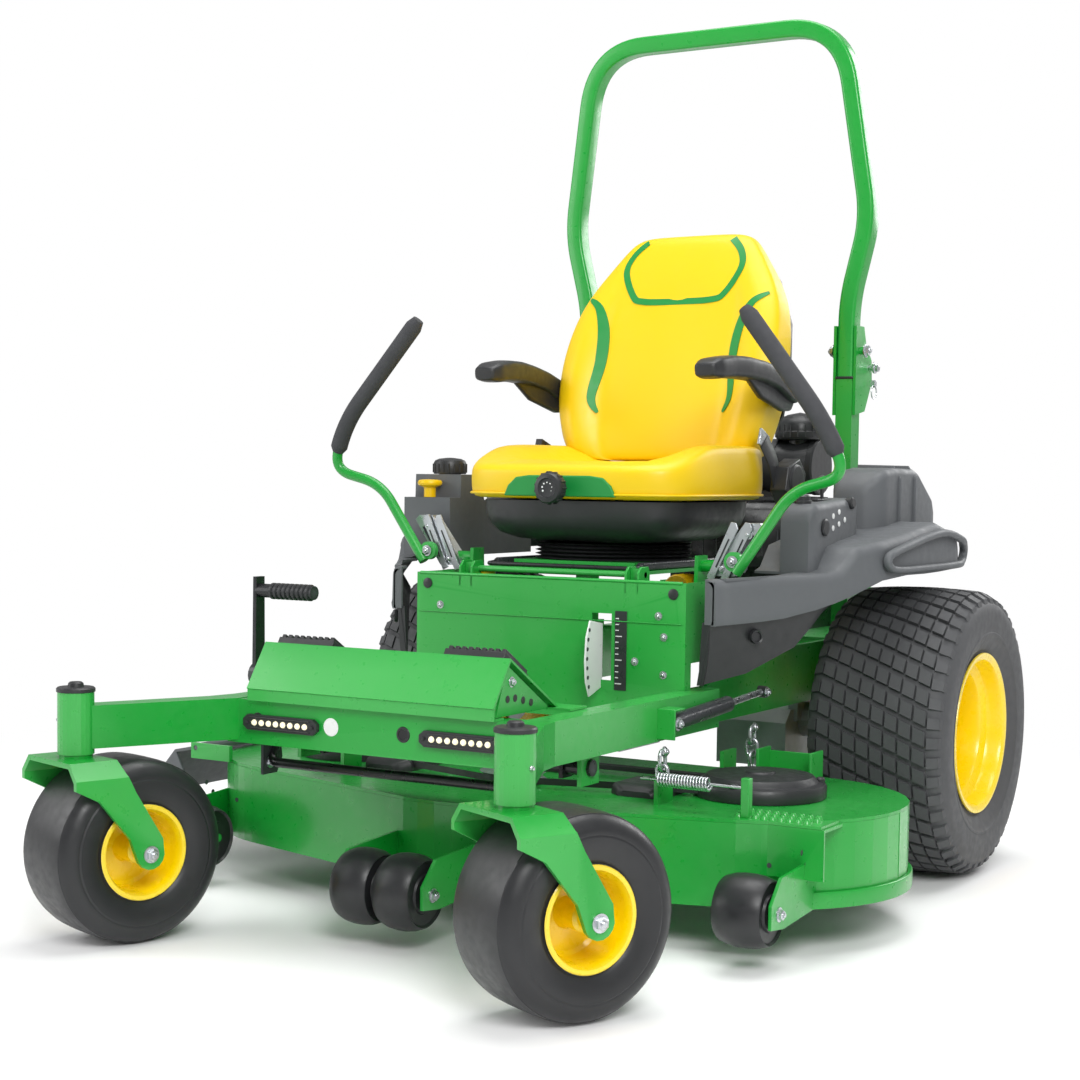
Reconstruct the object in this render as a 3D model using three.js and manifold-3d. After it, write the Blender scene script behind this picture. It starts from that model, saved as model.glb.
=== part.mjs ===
// Zero turn mower with a 54 inch side-discharge deck, as a scene graph of separate pieces.
// Millimetres. +Z is up, -Y is the front, +X is the operator's left.
// While the pieces are made, Y = 0 is the rear axle and Z = 0 the ground.

import * as THREE from "three";
import { mergeVertices } from "three/addons/utils/BufferGeometryUtils.js";
import Module from "manifold-3d";

const wasm = await Module();
wasm.setup();

// ---- driving dimensions ----------------------------------------------------

const GAP = 0.3; // between pieces that touch
const RUNNING_CLEARANCE = 0.5; // radial, between a shaft and its bore

// wheels
const DRIVE_TYRE_RADIUS = 300;
const DRIVE_TYRE_WIDTH = 296;
const DRIVE_WHEEL_X = 545; // centre of each drive wheel from the middle
const DRIVE_BEAD_RADIUS = 152.4; // 12 inch rim
const DRIVE_FLANGE_RADIUS = DRIVE_BEAD_RADIUS + 15.6;
const CASTER_TYRE_RADIUS = 162.5;
const CASTER_TYRE_WIDTH = 165;
const CASTER_BEAD_RADIUS = 76.2; // 6 inch rim
const CASTER_FLANGE_RADIUS = CASTER_BEAD_RADIUS + 7.8;
const CASTER_TRAIL = 91;
const CASTER_X = 445.5; // swivel axis from the middle
const CASTER_Y = -1487.6;
const LEFT_CASTER_SWIVEL = 25.9; // degrees, as parked
const RIGHT_CASTER_SWIVEL = 17.6;

// frame
const RAIL_OUTER_X = 340;
const RAIL_WIDTH = 50;
const RAIL_TOP = 420;
const RAIL_HEIGHT = 75;
const RAIL_WALL = 5;
const FRONT_Y = -1239; // front face of the front beam
const BEAM_DEPTH = 50;
const BEAM_HALF = 314.6;
const REAR_Y = 575; // rear end of the side plates
const PANEL_Y = -646; // front face of the panel under the seat
const PANEL_HALF = 307.5;
const PANEL_TOP = 625;
const SHEET = 4;
const BARREL_RADIUS = 31.75;
const STEM_RADIUS = 15.5;
const BARREL_TOP = 443;
const BARREL_BOTTOM = 335.6;

// roll bar
const ROPS_WIDTH = 38;
const ROPS_DEPTH = 45;
const ROPS_WALL = 4;
const ROPS_X = 325;
const ROPS_Y = 99.5;
const ROPS_HINGE_Z = 1106;
const ROPS_POST_TOP = 1044;
const ROPS_TOP = 1812; // centre line of the top bar

// deck
const DECK_X = 5; // deck centre, off the mower's middle
const SPINDLE_SPACING = 460;
const SIDE_SPINDLE_Y = -640;
const CENTER_SPINDLE_Y = -770;
const DECK_SHELL_RADIUS = 275;
const DECK_TOP = 235;
const DECK_BOTTOM = 80;
const DECK_WALL = 6;
const BLADE_LENGTH = 464;
const BLADE_Z = 125;
const ROLLER_Z = 100;
const FRONT_ROLLER_Y = CENTER_SPINDLE_Y - DECK_SHELL_RADIUS - 145;
const SIDE_ROLLER_X = SPINDLE_SPACING + 140; // from the deck's centre
const SIDE_ROLLER_Y = SIDE_SPINDLE_Y - DECK_SHELL_RADIUS - 75;

// seat
const SEAT_HALF = 262;
const SEAT_FRONT_Y = -610;
const CUSHION_BOTTOM = 776;
const CUSHION_HEIGHT = 92;

// ---- colours ---------------------------------------------------------------

const paint = (color, roughness, metalness = 0) => ({ color, roughness, metalness });
const GREEN = paint(0x2fa53c, 0.35);
const YELLOW = paint(0xfbd90a, 0.4);
const SEAT_YELLOW = paint(0xfbdc12, 0.5);
const BLACK_PLASTIC = paint(0x3c3e41, 0.6);
const BLACK_PAINT = paint(0x1d1e20, 0.4);
const RUBBER = paint(0x2a2b2d, 0.75);
const FOAM = paint(0x3f4145, 0.85);
const STEEL = paint(0xc4c8cc, 0.3, 0.9);
const ALUMINIUM = paint(0x9fa3a6, 0.45, 0.8);

const mower = new THREE.Group();

// ---- solids ----------------------------------------------------------------

// A closed mesh as a solid, whichever way round its faces were listed.
function toSolid(geometry) {
  const loose = geometry.index ? geometry.toNonIndexed() : geometry;
  const bare = new THREE.BufferGeometry().setAttribute("position", loose.getAttribute("position").clone());
  const merged = mergeVertices(bare, 1e-3);
  const corners = merged.index.array;
  const kept = [];
  for (let i = 0; i < corners.length; i += 3) {
    const [a, b, c] = [corners[i], corners[i + 1], corners[i + 2]];
    if (a !== b && b !== c && c !== a) kept.push(a, b, c);
  }
  const vertProperties = merged.attributes.position.array;
  const make = (triangles) => {
    const triVerts = new Uint32Array(triangles);
    return new wasm.Manifold(new wasm.Mesh({ numProp: 3, vertProperties, triVerts }));
  };
  const solid = make(kept);
  return solid.volume() >= 0 ? solid : make(kept.reverse());
}

function toGeometry(solid) {
  const mesh = solid.getMesh();
  const geometry = new THREE.BufferGeometry();
  geometry.setAttribute("position", new THREE.BufferAttribute(mesh.vertProperties, 3));
  geometry.setIndex(new THREE.BufferAttribute(mesh.triVerts, 1));
  const loose = geometry.toNonIndexed();
  loose.computeVertexNormals();
  return loose;
}

const join = (...shapes) => toGeometry(shapes.map(toSolid).reduce((a, b) => a.add(b)));
const cut = (base, ...tools) => toGeometry([base, ...tools].map(toSolid).reduce((a, b) => a.subtract(b)));
const common = (a, b) => toGeometry(toSolid(a).intersect(toSolid(b)));

function block(x0, x1, y0, y1, z0, z1) {
  const box = new THREE.BoxGeometry(x1 - x0, y1 - y0, z1 - z0);
  return box.translate((x0 + x1) / 2, (y0 + y1) / 2, (z0 + z1) / 2);
}

// Each frame stands a shape drawn in XY up along its axis: an outline's two numbers are
// (y, z) for x, (x, z) for y and (x, y) for z.
const frame = (...columns) => new THREE.Matrix4().makeBasis(...columns.map((c) => new THREE.Vector3(...c)));
const OUTLINE_FRAME = {
  x: frame([0, 1, 0], [0, 0, 1], [1, 0, 0]),
  y: frame([1, 0, 0], [0, 0, 1], [0, -1, 0]),
  z: frame([1, 0, 0], [0, 1, 0], [0, 0, 1]),
};
const LATHE_FRAME = {
  x: frame([0, 0, 1], [1, 0, 0], [0, 1, 0]),
  y: frame([1, 0, 0], [0, 1, 0], [0, 0, 1]),
  z: frame([0, 1, 0], [0, 0, 1], [1, 0, 0]),
};

function prism(axis, outline, from, to) {
  const shape = new THREE.Shape(outline.map(([u, v]) => new THREE.Vector2(u, v)));
  const solid = new THREE.ExtrudeGeometry(shape, { depth: to - from, bevelEnabled: false });
  solid.translate(0, 0, axis === "y" ? -to : from);
  return solid.applyMatrix4(OUTLINE_FRAME[axis]);
}

// A profile of [radius, place along the axis], turned about an axis through a point.
function turned(axis, [x, y, z], profile, segments = 24) {
  const points = profile.map(([radius, along]) => new THREE.Vector2(radius, along));
  const solid = new THREE.LatheGeometry(points, segments).applyMatrix4(LATHE_FRAME[axis]);
  return solid.translate(x, y, z);
}

function rod(axis, center, radius, from, to, segments = 16) {
  return turned(axis, center, [[0, from], [radius, from], [radius, to], [0, to]], segments);
}

const arc = (cx, cy, radius, from, to, steps) =>
  Array.from({ length: steps + 1 }, (_, i) => {
    const angle = THREE.MathUtils.degToRad(from + ((to - from) * i) / steps);
    return [cx + radius * Math.cos(angle), cy + radius * Math.sin(angle)];
  });

// The closed outline of a bent sheet whose middle line follows the points.
function sheetOutline(points, thickness) {
  const line = points.map(([u, v]) => new THREE.Vector2(u, v));
  const side = (distance) =>
    line.map((point, i) => {
      const before = line[Math.max(i - 1, 0)];
      const after = line[Math.min(i + 1, line.length - 1)];
      const a = (i ? point.clone().sub(before) : after.clone().sub(point)).normalize();
      const b = (i < line.length - 1 ? after.clone().sub(point) : point.clone().sub(before)).normalize();
      const normal = new THREE.Vector2(-a.y - b.y, a.x + b.x).normalize();
      const stretch = distance / normal.dot(new THREE.Vector2(-a.y, a.x));
      return [point.x + normal.x * stretch, point.y + normal.y * stretch];
    });
  return [...side(thickness / 2), ...side(-thickness / 2).reverse()];
}

// A route of straight stretches with a bend at each corner; [x, y, z, setback of the bend].
function route(points) {
  const path = new THREE.CurvePath();
  const at = (i) => new THREE.Vector3(...points[i].slice(0, 3));
  let last = at(0);
  for (let i = 1; i < points.length - 1; i++) {
    const corner = at(i);
    const setback = points[i][3];
    const start = corner.clone().add(at(i - 1).sub(corner).setLength(setback));
    const end = corner.clone().add(at(i + 1).sub(corner).setLength(setback));
    path.add(new THREE.LineCurve3(last, start));
    path.add(new THREE.QuadraticBezierCurve3(start, corner, end));
    last = end;
  }
  path.add(new THREE.LineCurve3(last, at(points.length - 1)));
  return path;
}

const rectangle = (width, height) =>
  [[-1, -1], [1, -1], [1, 1], [-1, 1]].map(([u, v]) => new THREE.Vector2((u * width) / 2, (v * height) / 2));
const circle = (radius, sides) =>
  arc(0, 0, radius, 0, 360 - 360 / sides, sides - 1).map(([u, v]) => new THREE.Vector2(u, v));

function tube(path, section, steps, hollow) {
  const shape = new THREE.Shape(section);
  if (hollow) shape.holes.push(new THREE.Path(hollow));
  return new THREE.ExtrudeGeometry(shape, { steps, extrudePath: path, bevelEnabled: false });
}

// ---- the scene graph -------------------------------------------------------

function piece(group, name, finish, geometry) {
  const solid = toGeometry(toSolid(geometry));
  const mesh = new THREE.Mesh(solid, new THREE.MeshStandardMaterial(finish));
  mesh.name = name;
  group.add(mesh);
  return mesh;
}

// Builds the same pieces on both sides; the right side is the left one mirrored.
function bothSides(build) {
  for (const [side, sign] of [["left", 1], ["right", -1]]) {
    const half = new THREE.Group();
    half.scale.x = sign;
    mower.add(half);
    build(side, half);
  }
}

// ---- frame -----------------------------------------------------------------

const RAIL_BOTTOM = RAIL_TOP - RAIL_HEIGHT;
const RAIL_INNER_X = RAIL_OUTER_X - RAIL_WIDTH;
const RAIL_FRONT = FRONT_Y + BEAM_DEPTH + GAP;
const RAIL_STEP_Y = -600; // where the front rail tube meets the rear side plate
const SIDE_PLATE_THICKNESS = 14;
const SIDE_PLATE_TOP = 470;
const SIDE_PLATE_OUTER_X = RAIL_INNER_X + SIDE_PLATE_THICKNESS;
const LIFT_SHAFT = { y: -1010, z: 318, radius: 15 };
const PEDAL_PIVOT = { y: -1100, z: 447, radius: 10 };
const AXLE_HOUSING_RADIUS = 38;

function frameRail(side, half) {
  const railEnd = RAIL_STEP_Y + 40;
  const hollow = [
    RAIL_INNER_X + RAIL_WALL, RAIL_OUTER_X - RAIL_WALL, RAIL_FRONT - 1, railEnd + 1,
    RAIL_BOTTOM + RAIL_WALL, RAIL_TOP - RAIL_WALL,
  ];
  const outside = block(RAIL_INNER_X, RAIL_OUTER_X, RAIL_FRONT, railEnd, RAIL_BOTTOM, RAIL_TOP);
  const tubePart = cut(outside, block(...hollow));
  const plate = [
    [RAIL_STEP_Y, RAIL_BOTTOM], [REAR_Y, RAIL_BOTTOM], [REAR_Y, SIDE_PLATE_TOP],
    [RAIL_STEP_Y + 120, SIDE_PLATE_TOP], [RAIL_STEP_Y + 60, RAIL_TOP], [RAIL_STEP_Y, RAIL_TOP],
  ];
  const hanger = cut(
    block(RAIL_INNER_X + 10, RAIL_INNER_X + 18, LIFT_SHAFT.y - 32, LIFT_SHAFT.y + 32, 288, RAIL_BOTTOM + 2),
    rod("x", [0, LIFT_SHAFT.y, LIFT_SHAFT.z], LIFT_SHAFT.radius + RUNNING_CLEARANCE, 0, RAIL_OUTER_X),
  );
  const shapes = [tubePart, prism("x", plate, RAIL_INNER_X, SIDE_PLATE_OUTER_X), hanger];
  if (side === "right") {
    const { y, z, radius } = PEDAL_PIVOT;
    shapes.push(block(RAIL_OUTER_X - 8, RAIL_OUTER_X - 2, y - 25, y + 25, RAIL_TOP - 10, z + 22));
    shapes.push(rod("x", [0, y, z], radius, RAIL_OUTER_X - 4, RAIL_OUTER_X + 22));
  }
  piece(half, `${side}_frame_rail`, GREEN, join(...shapes));
}

// The front beam is a channel open to the rear, with an arm and a caster barrel at each end.
function frontAxle() {
  const beam = cut(
    block(-BEAM_HALF, BEAM_HALF, FRONT_Y, FRONT_Y + BEAM_DEPTH, RAIL_BOTTOM - 5, RAIL_TOP - 1),
    block(-BEAM_HALF - 1, BEAM_HALF + 1, FRONT_Y + 6, FRONT_Y + BEAM_DEPTH + 1, RAIL_BOTTOM + 3, RAIL_TOP - 9),
  );
  const armOutline = [
    [RAIL_INNER_X, FRONT_Y + BEAM_DEPTH], [RAIL_OUTER_X, FRONT_Y + BEAM_DEPTH],
    [RAIL_OUTER_X + 12, FRONT_Y - 6], [CASTER_X + 14, CASTER_Y + 18], [CASTER_X - 28, CASTER_Y + 2],
    [RAIL_INNER_X + 22, FRONT_Y - 40], [RAIL_INNER_X, FRONT_Y],
  ];
  const shapes = [beam];
  const bores = [];
  for (const sign of [1, -1]) {
    shapes.push(prism("z", armOutline.map(([x, y]) => [sign * x, y]), RAIL_BOTTOM, RAIL_TOP));
    const swivel = [sign * CASTER_X, CASTER_Y, 0];
    shapes.push(rod("z", swivel, BARREL_RADIUS, BARREL_BOTTOM, BARREL_TOP, 24));
    bores.push(rod("z", swivel, STEM_RADIUS + RUNNING_CLEARANCE, 0, 2 * BARREL_TOP, 16));
  }
  piece(mower, "front_axle", GREEN, cut(join(...shapes), ...bores));
}

const ENGINE_PLATE_TOP = 470;
const ENGINE_PLATE_FRONT = 120;

function rearFrame() {
  const inner = RAIL_INNER_X - GAP;
  const plate = block(-inner, inner, ENGINE_PLATE_FRONT, REAR_Y + 3, ENGINE_PLATE_TOP - 8, ENGINE_PLATE_TOP);
  const bumperLine = [
    [-RAIL_OUTER_X, REAR_Y - 60], [-RAIL_OUTER_X, REAR_Y + 10],
    [RAIL_OUTER_X, REAR_Y + 10], [RAIL_OUTER_X, REAR_Y - 60],
  ];
  const bumper = prism("z", sheetOutline(bumperLine, 8), 360, 560);
  const backPlate = block(-inner, inner, REAR_Y + GAP, REAR_Y + 8, 400, ENGINE_PLATE_TOP);
  piece(mower, "rear_frame", GREEN, join(plate, bumper, backPlate));
}

const PLATFORM = {
  half: 259.5,
  ridge: [-1199.5, 518],
  toe: [-1252, 440],
  heel: [-1040, RAIL_TOP + 3],
};

function footPlatform() {
  const line = [PLATFORM.toe, PLATFORM.ridge, PLATFORM.heel, [-1000, RAIL_TOP + 3]];
  const sheet = prism("x", sheetOutline(line, SHEET), -PLATFORM.half, PLATFORM.half);
  const legs = [1, -1].map((sign) => {
    const x = sign * (PLATFORM.half + 10);
    return block(x - 25, x + 25, -1060, -1000, RAIL_TOP + 1, RAIL_TOP + 5);
  });
  const { half, toe } = PLATFORM;
  const toeFeet = block(-half, half, FRONT_Y - 12, FRONT_Y + 20, RAIL_TOP - 1 + GAP, RAIL_TOP + 3);
  const toeWeb = block(-half, half, FRONT_Y - 12, FRONT_Y - 8, RAIL_TOP, toe[1] + 1);
  piece(mower, "foot_platform", GREEN, join(sheet, ...legs, toeFeet, toeWeb));
}

// Lever pivots: one stub shaft each side, on an ear of the panel.
const LEVER = {
  front: -510,
  back: -480,
  shaftY: -490,
  shaftZ: 652,
  shaftRadius: 12,
  swingX: 368,
  swingY: -527,
  swingZ: 648,
};
const SEAT_HINGE = { y: -618, z: 636, radius: 6 };

function frontPanel() {
  const middle = SHEET / 2;
  const x = PANEL_HALF - middle;
  const y = PANEL_Y + middle;
  const wallLine = [[-x, -470], [-x, y], [x, y], [x, -470]];
  const walls = prism("z", sheetOutline(wallLine, SHEET), RAIL_BOTTOM + 8, PANEL_TOP);
  const shelf = block(-PANEL_HALF, PANEL_HALF, PANEL_Y, -470, 596, 600);
  const shapes = [walls, shelf];
  const holes = [
    block(104, 148, PANEL_Y - 1, PANEL_Y + SHEET + 1, 430, 560),
    rod("y", [-281, 0, 603], 8, PANEL_Y - 1, PANEL_Y + SHEET + 1),
    rod("y", [281, 0, 603], 8, PANEL_Y - 1, PANEL_Y + SHEET + 1),
  ];
  for (const sign of [1, -1]) {
    const ear = prism("x", [[-515, 598], [-465, 598], [-470, 672], [-510, 672]], 258, 266);
    shapes.push(ear.scale(sign, 1, 1));
    shapes.push(rod("x", [0, LEVER.shaftY, LEVER.shaftZ], LEVER.shaftRadius, 260, 352).scale(sign, 1, 1));
    const railX = [RAIL_INNER_X - GAP, RAIL_OUTER_X];
    const railEnd = block(...railX, PANEL_Y - 20, -400, RAIL_BOTTOM - 20, RAIL_TOP + GAP);
    holes.push(railEnd.scale(sign, 1, 1));
    const plateEnd = block(...railX, -620, -400, RAIL_BOTTOM, SIDE_PLATE_TOP + 1);
    holes.push(plateEnd.scale(sign, 1, 1));
    const lug = block(180, 200, SEAT_HINGE.y - 12, SEAT_HINGE.y + 12, 598, SEAT_HINGE.z + 12).scale(sign, 1, 1);
    shapes.push(lug);
  }
  holes.push(rod("x", [0, SEAT_HINGE.y, SEAT_HINGE.z], SEAT_HINGE.radius + RUNNING_CLEARANCE, -260, 260));
  piece(mower, "front_panel", GREEN, cut(join(...shapes), ...holes));
}

function headlights() {
  const outline = [[-82, -6], [-72, -14], [72, -14], [82, -6], [82, 6], [72, 14], [-72, 14], [-82, 6]];
  for (const [side, sign] of [["left", 1], ["right", -1]]) {
    const bezel = outline.map(([x, z]) => [x + sign * 190, z + 380]);
    piece(mower, `${side}_headlight`, BLACK_PLASTIC, prism("y", bezel, FRONT_Y - 9, FRONT_Y - GAP));
  }
}

// ---- fenders, tank and console ---------------------------------------------

const FENDER_INNER_X = RAIL_OUTER_X + 6;
const TANK = { x0: 352, x1: 470, y0: -460, y1: -120, bottom: 650, top: 825 };

function fender(side, half) {
  const plan = [
    [FENDER_INNER_X, PANEL_Y], [368, PANEL_Y], [530, -400], [566, -300], [590, -100], [600, 50],
    [572, 130], [400, 240], [FENDER_INNER_X, 240],
  ];
  const innerPlan = [
    [FENDER_INNER_X - 1, PANEL_Y + 9], [364, PANEL_Y + 9], [522, -397], [558, -298], [582, -99], [591, 46],
    [567, 122], [396, 231], [FENDER_INNER_X - 1, 231],
  ];
  const outer = [
    [PANEL_Y, 430], [PANEL_Y, 634], [-400, 645], [-360, 692], [-45, 738], [110, 700], [240, 690], [240, 640],
    [40, 636], [-60, 622], [-220, 626], [-400, 590], [-470, 500],
  ];
  const inner = [
    [PANEL_Y - 5, 420], [PANEL_Y - 5, 626], [-396, 637], [-356, 684], [-45, 730], [110, 692],
    [235, 682], [235, 600], [-60, 600], [-220, 600], [-390, 560], [-450, 480], [-460, 420],
  ];
  const span = [FENDER_INNER_X - 2, 640];
  const body = common(prism("x", outer, ...span), prism("z", plan, 400, 760));
  const hollow = common(prism("x", inner, ...span), prism("z", innerPlan, 400, 760));
  const tools = [
    hollow,
    block(300, 352, 20, 400, 400, 800), // room for the roll bar post
    block(300, 432, PANEL_Y + 22, -430, 600, 800), // room for the lever
  ];
  const shapes = [];
  const hump = [
    [-150, 716], [-150, 812], [-120, 846], [60, 850], [226, 752], [226, 688], [100, 694], [-45, 728],
  ];
  const room = [[-141, 600], [-141, 808], [-116, 837], [56, 841], [217, 748], [217, 600]];
  shapes.push(prism("x", hump, 392, 500));
  tools.push(prism("x", room, 400, 492));
  if (side === "left") {
    const console = [[-428, 640], [-428, 770], [-410, 780], [-190, 786], [-190, 716], [-350, 690], [-395, 642]];
    shapes.push(prism("x", console, 400, 470));
    const { x, y, z, pinRadius } = THROTTLE;
    tools.push(block(x - 6, x + 6, y - 36, y + 36, z - 14, 800));
    tools.push(rod("x", [0, y, z], pinRadius + RUNNING_CLEARANCE, x - 19, x + 19, 10));
  } else {
    tools.push(block(TANK.x0 - 40, TANK.x1 + 1, TANK.y0 - 1, TANK.y1 + 1, 600, 900));
  }
  piece(half, `${side}_fender`, BLACK_PLASTIC, cut(join(body, ...shapes), ...tools));
}

const THROTTLE = { x: 435, y: -300, z: 764, pinRadius: 3 };
const CAP = { x: -405, y: -380, radius: 36 };
const PTO = { x: -415, y: -443, ledge: 775 };

// The tank stands between the right fender and the seat, with its neck and the switch ledge on top.
function fuelTank() {
  const outline = [
    [TANK.y0, TANK.bottom], [TANK.y0, PTO.ledge], [-418, PTO.ledge], [-416, TANK.top], [-344, TANK.top],
    [-322, 770], [TANK.y1, 750], [TANK.y1, TANK.bottom],
  ];
  const neck = rod("z", [CAP.x, CAP.y, 0], 24, TANK.top - 5, TANK.top + 12, 20);
  const stem = rod("z", [PTO.x, PTO.y, 0], 6, PTO.ledge - 5, PTO.ledge + 20, 12);
  const body = prism("x", outline, -TANK.x1, -TANK.x0);
  piece(mower, "fuel_tank", BLACK_PLASTIC, join(body, neck, stem));
  const cap = [[0, 38], [30, 38], [CAP.radius, 30], [CAP.radius, GAP], [25, GAP], [25, 13], [0, 13]];
  piece(mower, "fuel_cap", BLACK_PLASTIC, turned("z", [CAP.x, CAP.y, TANK.top], cap, 24));
  const knob = [[0, 38], [20, 38], [26, 33], [26, 26], [13, 22], [13, GAP], [6.5, GAP], [6.5, 21], [0, 21]];
  piece(mower, "pto_knob", YELLOW, turned("z", [PTO.x, PTO.y, PTO.ledge], knob, 20));
}

function throttleLever() {
  const { x, y, z } = THROTTLE;
  const blade = prism("x", [[y - 5, z - 8], [y + 5, z - 8], [y + 4, z + 50], [y - 4, z + 50]], x - 2, x + 2);
  const knob = turned("z", [x, y, z + 46], [[0, 0], [8, 2], [10, 10], [8, 20], [0, 24]], 12);
  const pin = rod("x", [0, y, z], THROTTLE.pinRadius, x - 18, x + 18, 10);
  piece(mower, "throttle_lever", BLACK_PAINT, join(blade, knob, pin));
}

// ---- engine and drive ------------------------------------------------------

function engine() {
  const base = ENGINE_PLATE_TOP + GAP;
  const blower = [[0, 620], [190, 620], [200, 640], [200, 720], [150, 768], [90, 776], [0, 776]];
  const shapes = [
    block(-150, 150, 190, 470, base, 640),
    turned("z", [0, 330, 0], blower, 24),
    block(-60, 60, 440, 520, 560, 700), // oil cooler and starter side
    rod("x", [0, 520, 560], 55, -180, 180, 18),
  ];
  for (const sign of [1, -1]) {
    const cylinder = block(-55, 55, 60, 190, -75, 75).rotateZ(sign * 0.75).translate(sign * 20, 330, 610);
    shapes.push(cylinder);
    for (let fin = 0; fin < 4; fin++) {
      const plate = block(-64, 64, 90 + fin * 26, 100 + fin * 26, -84, 84);
      shapes.push(plate.rotateZ(sign * 0.75).translate(sign * 20, 330, 610));
    }
  }
  piece(mower, "engine", BLACK_PAINT, join(...shapes));
}

function airCleaner() {
  const canister = rod("x", [0, 330, 852], 62, -170, 150, 20);
  const foot = block(-60, 60, 300, 360, 776 + GAP, 800);
  const neck = rod("z", [119, 320, 0], 26, 860, 925, 16);
  const cap = turned("z", [119, 320, 0], [[0, 915], [50, 918], [56, 928], [56, 950], [40, 970], [0, 980]], 20);
  piece(mower, "air_cleaner", BLACK_PLASTIC, join(canister, foot, neck, cap));
}

const HUB_FACE_X = DRIVE_WHEEL_X - 77;
const HUB_STUB_RADIUS = 20;

function driveUnit(side, half) {
  const center = [0, 0, DRIVE_TYRE_RADIUS];
  const gearbox = [[-105, 205], [90, 205], [110, 240], [110, 326], [-80, 326], [-105, 300]];
  const unit = join(
    prism("x", gearbox, 120, RAIL_INNER_X - 8),
    rod("x", center, AXLE_HOUSING_RADIUS, RAIL_INNER_X - 15, HUB_FACE_X - 8, 20),
    rod("x", center, 60, HUB_FACE_X - 10, HUB_FACE_X, 20),
    rod("x", center, HUB_STUB_RADIUS, HUB_FACE_X - 2, HUB_FACE_X + 26, 16),
    rod("z", [180, -30, 0], 22, 320, 352, 16),
    block(RAIL_INNER_X - 22, RAIL_INNER_X - GAP, -60, 60, 300, 440),
  );
  piece(half, `${side}_drive_unit`, ALUMINIUM, unit);
}

// ---- wheels ----------------------------------------------------------------

// A tyre and its rim are turned with the same number of sides, so their faces lie together.
const DRIVE_SIDES = 28;
const CASTER_SIDES = 24;

// A tyre's closed section: the outside from bead to bead, and the air space inside it.
function tyreSection(bead, flange, radius, width, wall) {
  const half = width / 2;
  const beadHalf = half * 0.86;
  const mid = (bead + radius) / 2;
  return [
    [bead, -beadHalf], [flange + 2, -beadHalf], [mid, -half], [radius * 0.95, -half * 0.9],
    [radius, -half * 0.7], [radius, half * 0.7], [radius * 0.95, half * 0.9], [mid, half],
    [flange + 2, beadHalf], [bead, beadHalf], [bead, beadHalf - wall],
    [radius - wall * 1.4, half * 0.8], [radius - wall * 1.4, -half * 0.8], [bead, -beadHalf + wall],
    [bead, -beadHalf],
  ];
}

function driveWheel(side, half) {
  const center = [DRIVE_WHEEL_X, 0, DRIVE_TYRE_RADIUS];
  const seat = DRIVE_BEAD_RADIUS;
  const edge = DRIVE_TYRE_WIDTH * 0.43 + GAP; // where the tyre's bead meets the flange
  const disc = HUB_FACE_X + GAP - DRIVE_WHEEL_X;
  const bore = HUB_STUB_RADIUS + RUNNING_CLEARANCE;
  const tyre = tyreSection(seat + GAP, DRIVE_FLANGE_RADIUS, DRIVE_TYRE_RADIUS, DRIVE_TYRE_WIDTH, 14);
  piece(half, `${side}_drive_tyre`, RUBBER, turned("x", center, tyre, DRIVE_SIDES));
  const flange = DRIVE_FLANGE_RADIUS;
  const well = seat - 25.4; // the narrow middle of the rim
  const rim = [
    [flange, edge + 7], [flange, edge + 1], [seat, edge], [seat, 98], [well, 84], [well, disc + 14],
    [seat, disc - 2], [seat, -edge], [flange, -edge - 1], [flange, -edge - 7], [seat - 5, -edge - 2],
    [seat - 5, disc - 8], [well - 4, disc], [bore, disc], [bore, disc + 8], [well - 7, disc + 16],
    [well - 5, 86], [seat - 5, 101], [seat - 5, edge + 3], [flange, edge + 7],
  ];
  piece(half, `${side}_drive_rim`, YELLOW, turned("x", center, rim, DRIVE_SIDES));
}

const CASTER_AXLE_RADIUS = 8;
const FORK_INNER = CASTER_TYRE_WIDTH / 2 + 6; // from the wheel's middle to the inside of a leg
const FORK_THICKNESS = 9;
const FORK_TOP = BARREL_BOTTOM - 6;

// The fork is a bent plate: its front shape and its side shape have the solid in common.
function casterFork(side, group) {
  const outer = FORK_INNER + FORK_THICKNESS;
  const top = FORK_TOP;
  const leg = (x, shoulder) => [[x, 120], [x, shoulder]];
  const front = [
    ...leg(-outer, top - 28), [-outer + 24, top], [outer - 24, top], ...leg(outer, top - 28).reverse(),
    ...leg(FORK_INNER, top - 32), [FORK_INNER - 19, top - FORK_THICKNESS],
    [19 - FORK_INNER, top - FORK_THICKNESS], ...leg(-FORK_INNER, top - 32).reverse(),
  ];
  const axle = [CASTER_TRAIL, CASTER_TYRE_RADIUS];
  const sideShape = [
    [-52, top + 1], [38, top + 1], [46, top - 24], [62, top - 56], [axle[0] + 24, axle[1] + 26],
    ...arc(...axle, 27, 20, -150, 7), [axle[0] - 40, axle[1] + 30], [-6, 262], [-52, top - 44],
  ];
  const yoke = common(prism("y", front, -60, 200), prism("x", sideShape, -outer - 1, outer + 1));
  const stem = rod("z", [0, 0, 0], STEM_RADIUS, top - 4, BARREL_TOP + 1, 16);
  const washer = rod("z", [0, 0, 0], BARREL_RADIUS - 3, top - 2, BARREL_BOTTOM - GAP, 20);
  const axleRod = rod("x", [0, ...axle], CASTER_AXLE_RADIUS, -outer - 8, outer + 8, 14);
  piece(group, `${side}_caster_fork`, GREEN, join(yoke, stem, washer, axleRod));
}

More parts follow.
